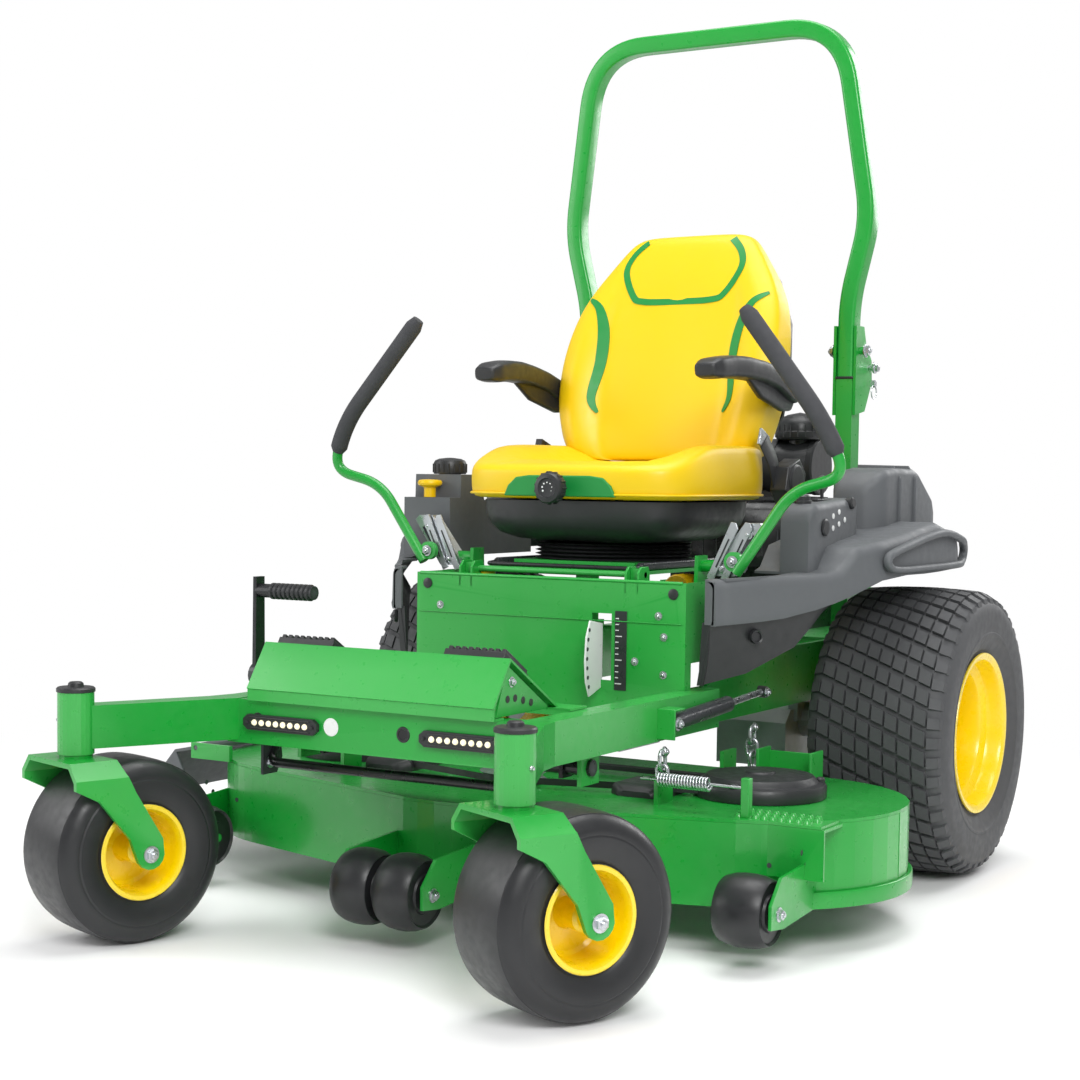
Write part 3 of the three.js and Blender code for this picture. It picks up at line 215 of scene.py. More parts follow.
def finish(name, bm, body, materials, smooth=32, replaces=(), bevel=0.0, segments=2):
    """Turns the working mesh into a finished piece that rides on a body, or on none when no body is given."""
    bmesh.ops.remove_doubles(bm, verts=bm.verts, dist=1e-6)
    bmesh.ops.recalc_face_normals(bm, faces=bm.faces)
    mesh = bpy.data.meshes.new(name)
    bm.to_mesh(mesh)
    bm.free()
    for polygon in mesh.polygons:
        polygon.use_smooth = True
    mesh.set_sharp_from_angle(angle=math.radians(smooth))
    piece = bpy.data.objects.new(name, mesh)
    scene.collection.objects.link(piece)
    for material in materials if isinstance(materials, (list, tuple)) else [materials]:
        mesh.materials.append(material)
    if bevel:
        rounded = piece.modifiers.new("edges", "BEVEL")
        rounded.width = bevel * MM
        rounded.segments = segments
        rounded.angle_limit = math.radians(30)
        rounded.harden_normals = False
    if body:
        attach(piece, body)
    if replaces:
        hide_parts(*replaces)
    return piece


def ring(radius, sides, turn=0.0):
    """Places set evenly round a circle: a round section, or where to put what repeats round an axis."""
    angles = [turn + 2 * math.pi * i / sides for i in range(sides)]
    return [(radius * math.cos(angle), radius * math.sin(angle)) for angle in angles]


def rounded(width, height, radius, steps=4):
    """A rectangular section with rounded corners."""
    points = []
    for corner, (sx, sy) in enumerate(((1, 1), (-1, 1), (-1, -1), (1, -1))):
        for i in range(steps + 1):
            angle = math.pi / 2 * (corner + i / steps)
            x = sx * (width / 2 - radius) + radius * math.cos(angle)
            y = sy * (height / 2 - radius) + radius * math.sin(angle)
            points.append((x, y))
    return points


def bent(points, steps=8):
    """A path of straight stretches with a smooth bend at each corner: (x, y, z, setback of the bend)."""
    corners = [Vector(p[:3]) for p in points]
    path = [corners[0]]
    for i in range(1, len(points) - 1):
        corner, setback = corners[i], points[i][3]
        start = corner + (corners[i - 1] - corner).normalized() * setback
        end = corner + (corners[i + 1] - corner).normalized() * setback
        for k in range(steps + 1):
            t = k / steps
            path.append(start * (1 - t) ** 2 + corner * 2 * t * (1 - t) + end * t * t)
    path.append(corners[-1])
    return path


def skin(bm, rings, closed=False, material=0):
    """Joins rings of corners with four-sided faces, and fills both ends unless the rings form a loop."""
    size = len(rings[0])
    following = rings[1:] + rings[:1] if closed else rings[1:]
    for a, b in zip(rings, following):
        for k in range(size):
            bm.faces.new((a[k], a[(k + 1) % size], b[(k + 1) % size], b[k])).material_index = material
    if not closed:
        for end in (rings[0][::-1], rings[-1]):
            bm.faces.new(end).material_index = material


def sweep(bm, path, section, up=(0, 0, 1), scale=None, closed=False, material=0):
    """Carries a section of (across, up) millimetres along a path; scale gives its size at each point."""
    points = [Vector(p) for p in path]
    count = len(points)
    side = Vector(up)
    rings = []
    for i, point in enumerate(points):
        before = points[i - 1] if i or closed else point
        after = points[(i + 1) % count] if i < count - 1 or closed else point
        along = (after - before).normalized()
        side = (side - along * side.dot(along)).normalized()
        across = along.cross(side)
        grow = scale[i] if scale else 1.0
        wide, tall = grow if isinstance(grow, tuple) else (grow, grow)
        rings.append([bm.verts.new(at(*(point + across * u * wide + side * v * tall))) for u, v in section])
    skin(bm, rings, closed, material)


def turn(bm, center, axis, profile, steps=48, material=0):
    """Turns a profile of (radius, place along the axis) round an axis through a point."""
    line = Vector(axis).normalized()
    out = line.orthogonal().normalized()
    if abs(line.z) < 0.9:
        out = Vector((0, 0, 1)) - line * line.z
        out.normalize()
    start = [bm.verts.new(at(*(Vector(center) + out * r + line * a))) for r, a in profile]
    edges = [bm.edges.new(pair) for pair in zip(start, start[1:])]
    before = set(bm.faces)
    bmesh.ops.spin(
        bm, geom=start + edges, cent=at(*center), axis=line, angle=2 * math.pi, steps=steps, use_merge=True,
    )
    for face in bm.faces:
        if face not in before:
            face.material_index = material


def plate(bm, outline, low, high, axis="z", material=0):
    """Pushes an outline up along an axis; its numbers are (y, z) for x, (x, z) for y and (x, y) for z."""
    order = {
        "x": lambda u, v, w: (w, u, v), "y": lambda u, v, w: (u, w, v), "z": lambda u, v, w: (u, v, w),
    }[axis]
    bottom = [bm.verts.new(at(*order(u, v, low))) for u, v in outline]
    top = [bm.verts.new(at(*order(u, v, high))) for u, v in outline]
    faces = [bm.faces.new(bottom[::-1]), bm.faces.new(top)]
    size = len(outline)
    for i in range(size):
        k = (i + 1) % size
        faces.append(bm.faces.new((bottom[i], bottom[k], top[k], top[i])))
    for face in faces:
        face.material_index = material


def block(bm, x0, x1, y0, y1, z0, z1, material=0):
    """A box between two places along each axis."""
    plate(bm, [(x0, y0), (x1, y0), (x1, y1), (x0, y1)], z0, z1, material=material)


def bolt(bm, place, axis, size=8, material=0, sides=6):
    """A washer, a chamfered hex head and the end of the shank, standing on a face."""
    washer = [(0, 0), (1.15, 0), (1.15, 0.16), (0.5, 0.2)]
    head = [(0, 0.18), (0.86, 0.18), (0.86, 0.66), (0.7, 0.8), (0, 0.8)]
    shank = [(0.42, 0.6), (0.42, 1.0), (0.3, 1.1), (0, 1.1)]
    for profile, steps in ((washer, 20), (head, sides), (shank, 12)):
        turn(bm, place, axis, [(size * r, size * a) for r, a in profile], steps, material)


def coat(name, material):
    """Gives a CAD node its material, leaving its mesh alone."""
    piece = nodes[name]
    piece.data.materials.clear()
    piece.data.materials.append(material)
    return piece


def soften(name, material, width, segments=2, angle=30):
    """A carried-over CAD node with its flat faces joined, its edges rounded and its shading smoothed."""
    piece = coat(name, material)
    flat = piece.modifiers.new("faces", "DECIMATE")
    flat.decimate_type = "DISSOLVE"
    flat.angle_limit = math.radians(1.0)
    edges = piece.modifiers.new("edges", "BEVEL")
    edges.width = width * MM
    edges.segments = segments
    edges.angle_limit = math.radians(angle)
    edges.use_clamp_overlap = True
    for polygon in piece.data.polygons:
        polygon.use_smooth = True
    normals = piece.modifiers.new("shading", "WEIGHTED_NORMAL")
    normals.keep_sharp = True
    return piece


SIDES = (("left", 1), ("right", -1))

# %% [markdown]
# ## Seat
# A suspension seat is foam moulded in one cushion and one back, with vinyl pulled over it.
# The cushion is a crowned form built as rings that shrink from the bulging side to the middle of the top.
# The back is a stack of sections whose wings come forward. The green bands are vinyl let in flush.

# %% Make the cushion


def superellipse(a, b, power, steps):
    """A rounded rectangle with a half width and a half depth; a higher power gives squarer corners."""
    points = []
    for i in range(steps):
        angle = 2 * math.pi * i / steps
        c, s = math.cos(angle), math.sin(angle)
        points.append((
            math.copysign(abs(c) ** (2 / power), c) * a, math.copysign(abs(s) ** (2 / power), s) * b,
        ))
    return points


def smoothstep(low, high, value):
    """0 below a range, 1 above it and a smooth rise between."""
    t = min(1.0, max(0.0, (value - low) / (high - low)))
    return t * t * (3 - 2 * t)


def cushion_top(x, y):
    """Height of the cushion: wings at the sides, a hollow where one sits, a roll down at the front."""
    fade = 1 - 0.3 * smoothstep(-190, -110, y)
    wing = 34 * smoothstep(120, 225, abs(x)) * smoothstep(-560, -400, y) * fade
    hollow = -10 * math.exp(-((x / 130) ** 2)) * smoothstep(-560, -420, y) * (1 - smoothstep(-280, -180, y))
    front = -10 * (1 - smoothstep(-612, -500, y))
    groove = -3.5 * math.exp(-(((abs(x) - 148) / 7) ** 2)) * smoothstep(-600, -560, y)
    return 858 + wing + hollow + front + groove


CUSHION_Y = -352  # middle of the cushion
CUSHION_PLAN = (258, 250, 5.0)  # half width, half depth and squareness


def make_cushion():
    """Rings rise up the bulging side, turn over the shoulder and shrink across the crowned top."""
    bm = bmesh.new()
    plan = superellipse(*CUSHION_PLAN, 96)
    levels = [(0.93, 777), (0.975, 781), (0.995, 792), (1.0, 812), (0.998, 834)]
    rings = []
    for scale, z in levels:
        rings.append([bm.verts.new(at(x * scale, CUSHION_Y + y * scale, z)) for x, y in plan])
    shoulder = [(0.99, 12), (0.972, 5.5), (0.945, 1.8), (0.91, 0.3)]
    crown = [(0.91 * (1 - k / 23), 0) for k in range(1, 23)]
    for scale, drop in shoulder + crown:
        spots = [(x * scale, CUSHION_Y + y * scale) for x, y in plan]
        rings.append([bm.verts.new(at(x, y, cushion_top(x, y) - drop)) for x, y in spots])
    skin(bm, rings)
    cushion = finish("seat_cushion_vinyl", bm, "seat", VINYL, smooth=50, replaces=["seat_cushion"])
    smooth = cushion.modifiers.new("smooth", "SUBSURF")
    smooth.levels = smooth.render_levels = 1


make_cushion()

# the inset in the front face, behind the ride knob
bm = bmesh.new()
inset = [(-128, 784), (-118, 806), (-100, 822), (-70, 826), (70, 826), (100, 822), (118, 806), (128, 784)]
plate(bm, inset, -604.5, -596, axis="y")
finish("seat_inset", bm, "seat", TRIM, bevel=3, segments=3)

# the seam that runs round the cushion under its widest line
bm = bmesh.new()
seam = [(x * 0.999, CUSHION_Y + y * 0.999, 789) for x, y in superellipse(*CUSHION_PLAN, 120)]
sweep(bm, seam, ring(2.6, 8), closed=True)
finish("cushion_welt", bm, "seat", VINYL)

# %% Make the back


def back_sections():
    """From bottom to top: (height, half width, Y of the front, lead of the wings, Y of the rear)."""
    return [
        (858, 196, -176, 18, -78), (868, 220, -183, 28, -66), (900, 236, -183, 36, -58),
        (930, 244, -178, 40, -52), (980, 255, -168, 46, -42), (1040, 260, -152, 44, -32),
        (1100, 259, -135, 38, -22), (1160, 252, -115, 28, -10), (1210, 238, -98, 18, 0),
        (1255, 214, -80, 10, 8), (1295, 186, -63, 5, 15), (1325, 165, -50, 2, 20), (1345, 148, -40, 0, 22),
        (1357, 128, -28, 0, 18), (1362, 96, -14, 0, 8),
    ]


def back_loop(z, half, front, lead, rear, steps=72):
    """One section of the back: wings led forward, a hollow between them and a groove beside each."""
    middle, deep = (front + rear) / 2, (rear - front) / 2
    points = []
    for x, y in superellipse(half, deep, 3.4, steps):
        share = abs(x) / half
        wing = -lead * smoothstep(0.5, 0.86, share) if y < 0 else 0
        hollow = 6 * (1 - smoothstep(0.0, 0.55, share)) if y < 0 and z < 1250 else 0
        groove = 3 * math.exp(-(((share - 0.6) / 0.03) ** 2)) if y < 0 and z < 1240 else 0
        points.append((x, middle + y + wing + hollow + groove, z))
    return points


def interpolate(sections, z):
    """The section at a height between two that are listed."""
    for low, high in zip(sections, sections[1:]):
        if low[0] <= z <= high[0]:
            t = (z - low[0]) / (high[0] - low[0])
            return tuple(a + (b - a) * t for a, b in zip(low, high))
    return sections[-1]


bm = bmesh.new()
sections = back_sections()
rings = [[bm.verts.new(at(*p)) for p in back_loop(*section)] for section in sections]
skin(bm, rings)
back = finish("seat_back_vinyl", bm, "seat", VINYL, smooth=60, replaces=["seat_back"])
smooth = back.modifiers.new("smooth", "SUBSURF")
smooth.levels = smooth.render_levels = 2


def back_front(x, z):
    """Where the back's front face lies at a width and height."""
    z, half, front, lead, rear = interpolate(sections, z)
    share = min(0.98, abs(x) / half)
    deep = (rear - front) / 2
    wing = lead * smoothstep(0.5, 0.86, share)
    hollow = 6 * (1 - smoothstep(0.0, 0.55, share)) if z < 1250 else 0
    return (front + rear) / 2 - deep * (1 - share ** 3.4) ** (1 / 3.4) - wing + hollow


def band(points, widths, name):
    """A flush strip of green vinyl that follows the front of the back."""
    bm = bmesh.new()
    left, right = [], []
    count = len(points)
    for i, (x, z) in enumerate(points):
        ax, az = points[max(i - 1, 0)]
        bx, bz = points[min(i + 1, count - 1)]
        length = math.hypot(bx - ax, bz - az)
        nx, nz = -(bz - az) / length, (bx - ax) / length
        w = widths[i] / 2
        for side, store in ((1, left), (-1, right)):
            px, pz = x + nx * w * side, z + nz * w * side
            face_y = back_front(px, pz)
            store.append((bm.verts.new(at(px, face_y - 1.6, pz)), bm.verts.new(at(px, face_y + 8, pz))))
    for i in range(count - 1):
        (a, a2), (b, b2), (c, c2), (d, d2) = left[i], left[i + 1], right[i + 1], right[i]
        for face in ((a, b, c, d), (a2, d2, c2, b2), (a, a2, b2, b), (d, c, c2, d2)):
            bm.faces.new(face)
    bm.faces.new((left[0][0], right[0][0], right[0][1], left[0][1]))
    bm.faces.new((left[-1][0], left[-1][1], right[-1][1], right[-1][0]))
    finish(name, bm, "seat", TRIM, smooth=40)


def through(a, b, c, d, t):
    """A smooth curve's place, a share t of the way from b to c, where a and d are the points next to them."""
    bend = (2 * a - 5 * b + 4 * c - d) * t * t
    twist = (3 * b - a - 3 * c + d) * t ** 3
    return 0.5 * (2 * b + (c - a) * t + bend + twist)


def curve2(points, steps=7):
    """A smooth line through points in the plane."""
    out = []
    last = len(points) - 1
    for i in range(last):
        p0, p1, p2, p3 = (points[max(0, min(last, i + k))] for k in (-1, 0, 1, 2))
        for s in range(steps):
            t = s / steps
            out.append(tuple(through(a, b, c, d, t) for a, b, c, d in zip(p0, p1, p2, p3)))
    out.append(points[-1])
    return out


head_line = [
    (-104, 1349), (-132, 1318), (-140, 1280), (-112, 1226), (-84, 1212), (0, 1210), (84, 1212), (112, 1226),
    (140, 1280), (132, 1318), (104, 1349),
]
head = curve2(head_line)
band(head, [14] * len(head), "head_band")
for side, sign in SIDES:
    wing_line = [(218, 1222), (186, 1200), (166, 1150), (160, 1080), (168, 1000), (152, 965)]
    wing = curve2([(sign * x, z) for x, z in wing_line])
    widths = [5 + 19 * math.sin(math.pi * min(1.0, (i + 1) / len(wing))) for i in range(len(wing))]
    band(wing, widths, f"{side}_wing_band")

# the moulded shell behind the back
bm = bmesh.new()
shell_points = [(882, 200), (960, 236), (1040, 244), (1160, 236), (1255, 200), (1318, 150), (1340, 110)]
spine = [(0, interpolate(sections, z)[4] + 1, z) for z, _ in shell_points]
widths = [(half, 1.0) for _, half in shell_points]
sweep(bm, spine, rounded(2, 10, 0.9, 3), up=(0, 1, 0), scale=widths)
finish("seat_back_shell", bm, "seat", PLASTIC, smooth=40)
print("seat cushion and back")

# %% [markdown]
# Pan, ride knob, bellows and armrests: moulded black plastic with soft edges, so light catches their rims.

# %% Make the seat's fittings
bm = bmesh.new()
BOWL_Y = -358  # middle of the bowl under the cushion
bowl_plan = superellipse(243, 238, 4.2, 72)
bowl_levels = [
    (0.3, 690), (0.56, 691), (0.74, 697), (0.86, 709), (0.93, 726), (0.965, 748), (0.97, 775.5),
    (0.94, 775.5),
]
bowl = [[bm.verts.new(at(x * k, BOWL_Y + y * k, z)) for x, y in bowl_plan] for k, z in bowl_levels]
skin(bm, bowl)
finish("seat_bowl", bm, "seat", PLASTIC, smooth=50, replaces=["seat_pan"])
# what carries the seat: slide rails low on the base, and their latch rod
bm = bmesh.new()
for sign in (1, -1):
    sweep(bm, [(sign * 165, -560, 648.5), (sign * 165, -180, 648.5)], rounded(16, 16, 4, 3))
    turn(bm, (sign * 165, -560, 648.5), (0, -1, 0), [(0, -4), (7, -4), (7, 8), (4, 12), (0, 12)], 20)
sweep(
    bm, bent([(165, -568, 648), (165, -600, 646, 8), (-165, -600, 646, 8), (-165, -568, 648)], 6),
    ring(4.5, 12),
)
finish("slide_rails", bm, "seat_tilt_base", BLACK)
soften("seat_base", GREEN, 1.5)
bm = bmesh.new()
BELLOWS_Y = -370
folds = [(150 if i % 2 else 164, 656 + i * 3.9) for i in range(9)]
turn(bm, (0, BELLOWS_Y, 0), (0, 0, 1), [(140, 656)] + folds + [(140, 688)], 64)
bellows = finish("seat_bellows", bm, None, PLASTIC, smooth=20)
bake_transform(bellows)

bm = bmesh.new()
KNOB_Z = 801  # height of the ride knob's middle
KNOB_RADIUS = 31
knob = [(0, 0), (13, 0), (13, 8), (26, 10), (31, 14), (31, 32), (28, 37), (20, 39), (18, 36), (0, 35)]
turn(bm, (0, -612, KNOB_Z), (0, -1, 0), knob, 60)
for x, z in ring(KNOB_RADIUS, 15):
    sweep(bm, [(x, -627, KNOB_Z + z), (x, -643, KNOB_Z + z)], ring(2.4, 8))
finish("suspension_knob_grip", bm, "seat_knob", PLASTIC, replaces=["suspension_knob"])
bm = bmesh.new()
for i in range(7):
    angle = math.radians(-30 + i * 40)
    size = 0.9 + 0.2 * i
    dot = (11 * math.cos(angle), -648.2, KNOB_Z + 11 * math.sin(angle))
    turn(bm, dot, (0, -1, 0), [(0, 0), (size, 0), (size, 0.5), (0, 0.7)], 14)
finish("knob_dial_mark", bm, "seat_knob", WHITE)

for side, sign in SIDES:
    bm = bmesh.new()
    arm = [
        (281, -92, 1004), (281, -130, 1014), (280, -200, 1034), (276, -270, 1044), (268, -340, 1048),
        (260, -400, 1047), (257, -452, 1041), (257, -482, 1036),
    ]
    sizes = [
        (0.5, 0.9), (0.62, 1.0), (0.72, 0.9), (0.85, 0.9), (1.0, 0.95), (1.02, 0.95), (1.0, 0.9),
        (0.72, 0.55),
    ]
    path = [Vector(p) for p in arm]
    fine, grow = [], []
    for i in range(len(path) - 1):
        for k in range(4):
            t = k / 4
            fine.append(path[i].lerp(path[i + 1], t))
            grow.append(tuple(a + (b - a) * t for a, b in zip(sizes[i], sizes[i + 1])))
    fine.append(path[-1])
    grow.append(sizes[-1])
    fine = [Vector((sign * p.x, p.y, p.z)) for p in fine]
    section = [
        (31 * math.copysign(abs(c) ** 0.55, c), 24 * math.copysign(abs(s) ** 0.5, s)) for c,
        s in ring(1, 28)
    ]
    sweep(bm, fine, section, scale=grow)
    pad = finish(f"{side}_armrest_pad", bm, f"{side}_arm", PLASTIC, smooth=50, replaces=[f"{side}_armrest"])
    rounder = pad.modifiers.new("smooth", "SUBSURF")
    rounder.levels = rounder.render_levels = 1
    bm = bmesh.new()
    web = [
        (-96, 984), (-96, 1014), (-130, 1018), (-300, 1044), (-350, 1040), (-260, 990), (-150, 966),
        (-110, 968),
    ]
    plate(bm, web, *sorted((sign * 268, sign * 284)), axis="x")
    finish(f"{side}_armrest_bracket", bm, f"{side}_arm", PLASTIC, bevel=6, segments=3)
    bm = bmesh.new()
    bolt(bm, (sign * 292, -110, 1004), (sign, 0, 0), 9)
    finish(f"{side}_armrest_bolt", bm, "seat", ZINC)

# %% [markdown]
# ## Seat belt
# A lap belt has a spring retractor on one side and a buckle on a short stalk on the other.
# The webbing is a thin section carried along a bent path, so it keeps its thickness as it turns.

# %% Make the seat belt
# the seat belt: retractor on the left, buckle stalk, and the strap laid beside the cushion
bm = bmesh.new()
plate(bm, [(-150, 768), (-92, 780), (-78, 836), (-112, 868), (-168, 850), (-182, 800)], 268, 306, axis="x")
turn(bm, (287, -128, 820), (1, 0, 0), [(0, -22), (34, -22), (38, -16), (38, 16), (34, 22), (0, 22)], 36)
finish("belt_retractor", bm, "seat", PLASTIC, bevel=4, segments=3)
bm = bmesh.new()
sweep(
    bm, bent([(276, -160, 812), (276, -186, 862, 14), (268, -214, 902)]), rounded(3, 44, 1.3, 2),
    up=(0, 1, 0),
)
finish("belt_strap", bm, "seat", PLASTIC)
bm = bmesh.new()
plate(bm, [(-238, 896), (-196, 880), (-184, 912), (-226, 930)], 262, 268, axis="x")
finish("belt_tongue", bm, "seat", ZINC, bevel=1.5)
bm = bmesh.new()
sweep(
    bm, bent([(-270, -150, 790), (-276, -180, 836, 18), (-270, -208, 872)]), rounded(6, 30, 2.5, 3),
    up=(0, 1, 0),
)
plate(bm, [(-242, 860), (-200, 848), (-184, 892), (-226, 906)], -278, -262, axis="x")
finish("belt_buckle", bm, "seat", PLASTIC, bevel=3, segments=3)
print("seat fittings")

# %% [markdown]
# ## Wheels
# The drive tyres carry a turf tread: eight staggered columns of low blocks, and lugs over both shoulders.
# The front tyres are smooth and semi-pneumatic, with a raised band at each shoulder. Rims are spun steel.

# %% Make the drive wheels


DRIVE_WHEEL_X = 545  # middle of each drive wheel
DRIVE_RADIUS = 300  # to the crown of the tread


def drive_wheel(side, sign):
    """A tyre with its tread blocks and lugs, and a dished rim with nuts, a hub cap and a valve."""
    center = (sign * DRIVE_WHEEL_X, 0, DRIVE_RADIUS)
    bm = bmesh.new()
    carcass = [
        (152.8, -127), (171, -127), (176, -131), (196, -141), (226, -147.2), (250, -147.5), (268, -143),
        (280, -132), (287, -112), (290.5, -70), (291.5, 0), (290.5, 70), (287, 112), (280, 132), (268, 143),
        (250, 147.5), (226, 147.2), (212, 145.6), (210, 146.6), (206, 146), (204, 144), (196, 141),
        (176, 131), (171, 127), (152.8, 127),
    ]
    turn(bm, center, (1, 0, 0), carcass, 96)
    pitches, columns = 46, 8
    width, gap = 29.0, 3.2
    pitch = 2 * math.pi / pitches
    stagger = 0.3
    half_tread = 118

    def spot(radius, angle, across):
        return at(
            center[0] + across, center[1] + radius * math.cos(angle), center[2] + radius * math.sin(angle),
        )

    def lug(corners, low, high):
        """A raised bar with drafted sides; corners are (angle, across) and high gives a radius for each."""
        middle = (sum(c[0] for c in corners) / 4, sum(c[1] for c in corners) / 4)
        bottom = [bm.verts.new(spot(low[i], a, x)) for i, (a, x) in enumerate(corners)]
        top = []
        for i, (a, x) in enumerate(corners):
            inner = (a + (middle[0] - a) * 0.07, x + (middle[1] - x) * 0.07)
            top.append(bm.verts.new(spot(high[i], *inner)))
        bm.faces.new(top)
        for i in range(4):
            k = (i + 1) % 4
            bm.faces.new((bottom[i], bottom[k], top[k], top[i]))

    for row in range(pitches):
        start = pitch * row
        for column in range(columns):
            left = (column - columns / 2) * width + gap / 2
            right = left + width - gap
            angle = start + (column * stagger) % 1.0 * pitch
            lean = stagger * pitch * 0.4
            span = pitch * 0.76
            corners = [
                (angle - lean, left), (angle + lean, right), (angle + span + lean, right),
                (angle + span - lean, left),
            ]
            crown = [DRIVE_RADIUS - 5.5 * (abs(x) / half_tread) ** 2 for _, x in corners]
            root = [DRIVE_RADIUS - 12 - 5 * (abs(x) / half_tread) ** 2 for _, x in corners]
            lug(corners, root, crown)
        for edge in (-1, 1):
            angle = start + (0.0 if edge < 0 else pitch / 2)
            span = pitch * 0.58
            inner, outer = edge * 116.5, edge * 139
            corners = [(angle, inner), (angle + span, inner), (angle + span, outer), (angle, outer)]
            lug(corners, [283, 283, 268, 268], [293.5, 293.5, 281, 281])
            inner, outer = edge * 138, edge * 143
            corners = [
                (angle, inner), (angle + span, inner), (angle + span * 0.9, outer),
                (angle + span * 0.1, outer),
            ]
            lug(corners, [276, 276, 256, 256], [281.5, 281.5, 262, 262])
    finish(f"{side}_turf_tyre", bm, f"{side}_drive_wheel", TYRE, smooth=30, replaces=[f"{side}_drive_tyre"])

    bm = bmesh.new()
    face = [
        (20.5, -76), (20.5, -68), (34, -68), (36, -64), (52, -64), (58, -68), (96, -68), (104, -64),
        (112, -50), (120, 40), (124, 82), (127, 90), (138, 94), (146, 98), (149, 106), (150, 122),
        (153, 130), (160, 134), (167, 134.5), (168, 132), (166.5, 129), (156, 127.6), (152, 124),
        (152, 100), (145, 92), (130, 86), (126, 70), (122, -52), (150, -84), (152, -100), (152, -124),
        (156, -127.6), (166.5, -129), (168, -132), (167, -134.5), (158, -134), (150, -126), (149, -92),
        (118, -76), (20.5, -76),
    ]
    # the dished face looks outwards
    turn(bm, center, (1, 0, 0), [(r, a * sign) for r, a in face], 96)
    for y, z in ring(76, 5, 0.3):
        bolt(bm, (center[0] - sign * 68, y, DRIVE_RADIUS + z), (sign, 0, 0), 13, material=1)
    hub_cap = [(0, 0), (30, 0), (30, 10), (26, 16), (0, 18)]
    turn(bm, (center[0] - sign * 64, 0, DRIVE_RADIUS), (sign, 0, 0), hub_cap, 40, material=1)
    stem = (center[0] - sign * 48, 108 * math.cos(2.0), DRIVE_RADIUS + 108 * math.sin(2.0))
    valve = [(0, 0), (4.5, 0), (4.5, 6), (3, 8), (3, 26), (4, 27), (4, 34), (0, 35)]
    turn(bm, stem, (sign, 0.2, 0), valve, 14, material=2)
    finish(f"{side}_drive_rim_detail", bm, f"{side}_drive_wheel", [YELLOW, ZINC, PLASTIC], smooth=28,
           replaces=[f"{side}_drive_rim"])


for side, sign in SIDES:
    drive_wheel(side, sign)
print("drive wheels")

# %% Make the front wheels
SWIVEL = {"left": math.radians(25.9), "right": math.radians(17.6)}  # how far each caster is turned at rest
SWIVEL_X, SWIVEL_Y = 445.5, -1487.6  # the swivel axis
CASTER_TRAIL = 91  # the wheel's axle behind the swivel axis
CASTER_RADIUS = 162.5


def caster_point(side, across, trail, height):
    """A place on a caster in millimetres: across its wheel, behind its swivel axis, above the ground."""
    angle = SWIVEL[side]
    sign = 1 if side == "left" else -1
    x = sign * SWIVEL_X + across * math.cos(angle) + trail * math.sin(angle)
    y = SWIVEL_Y - across * math.sin(angle) + trail * math.cos(angle)
    return (x, y, height)


for side, sign in SIDES:
    center = caster_point(side, 0, CASTER_TRAIL, CASTER_RADIUS)
    axis = (math.cos(SWIVEL[side]), -math.sin(SWIVEL[side]), 0)
    bm = bmesh.new()
    half = [
        (76.6, 70.6), (86, 70.8), (89, 73), (94, 75.5), (108, 80), (120, 82.2), (126, 82.4), (129, 81),
        (132, 81.6), (140, 80), (149, 75), (155.5, 68), (158, 63), (159.5, 62), (161.3, 52), (162.2, 30),
        (CASTER_RADIUS, 0),
    ]
    profile = [(r, -a) for r, a in half] + [(r, a) for r, a in half[-2::-1]]
    turn(bm, center, axis, profile, 112)
    finish(
        f"{side}_smooth_tyre", bm, f"{side}_caster_wheel", SMOOTH_TYRE, smooth=24,
        replaces=[f"{side}_caster_tyre"],
    )
    bm = bmesh.new()
    rim = [
        (8.6, 85), (15, 85), (16, 82), (16, 60), (22, 56), (22, 18), (26, 10), (60, 9), (66, 14), (69, 26),
        (70, 60), (72, 68), (76, 75.5), (82, 76.2), (84, 74.5), (83, 72.4), (78, 71.2), (76.2, 68),
        (74.5, 30), (68, 4), (66, 0),
    ]
    turn(bm, center, axis, rim + [(r, -a) for r, a in rim[-2::-1]], 80)
    for end in (1, -1):
        turn(
            bm, center, axis, [(r, end * a) for r, a in ((8.7, 84), (17, 84), (17, 87.6), (8.7, 87.6))], 24,
            material=1,
        )
    finish(f"{side}_caster_rim_detail", bm, f"{side}_caster_wheel", [YELLOW, ZINC], smooth=28,
           replaces=[f"{side}_caster_rim"])
    soften(f"{side}_caster_fork", GREEN, 2.2, 3)
    bm = bmesh.new()
    for end in (-1, 1):
        place = caster_point(side, end * 97.6, CASTER_TRAIL, CASTER_RADIUS)
        bolt(bm, place, tuple(end * a for a in axis), 13)
    finish(f"{side}_fork_nuts", bm, f"{side}_fork", ZINC)
    bm = bmesh.new()
    top = (sign * SWIVEL_X, SWIVEL_Y, 443)
    profile = [(0, 0.6), (33.5, 0.6), (33.5, 6), (31, 8.5), (14, 9.5), (13, 15), (10, 17.5), (0, 18)]
    turn(bm, top, (0, 0, 1), profile, 40)
    finish(f"{side}_barrel_cap", bm, "chassis", PLASTIC)
    bm = bmesh.new()
    profile = [(0, -3), (4, -3), (4, 2), (2.5, 4), (2.8, 6), (0, 7)]
    turn(bm, (sign * 477, -1494, 392), (sign, -0.2, 0), profile, 12)
    finish(f"{side}_grease_nipple", bm, "chassis", ZINC)
print("front wheels")

# %% [markdown]
# ## Roll bar
# The hoop is one rectangular tube bent cold. It could be joined from straight lengths, but one section
# carried along one bent path keeps its edges running through the bends, as they do in the real tube.

# %% Make the roll bar
POST_X, POST_Y = 325, 99.5  # middle of each post


def hoop_leg(sign):
    """One leg of the hoop, from its hinge up to the top corner: (x, y, z, setback of the bend)."""
    return [
        (sign * POST_X, POST_Y, 1050), (sign * POST_X, POST_Y, 1215, 50), (sign * 369, 97.5, 1394, 60),
        (sign * 306, 78, 1812, 130),
    ]


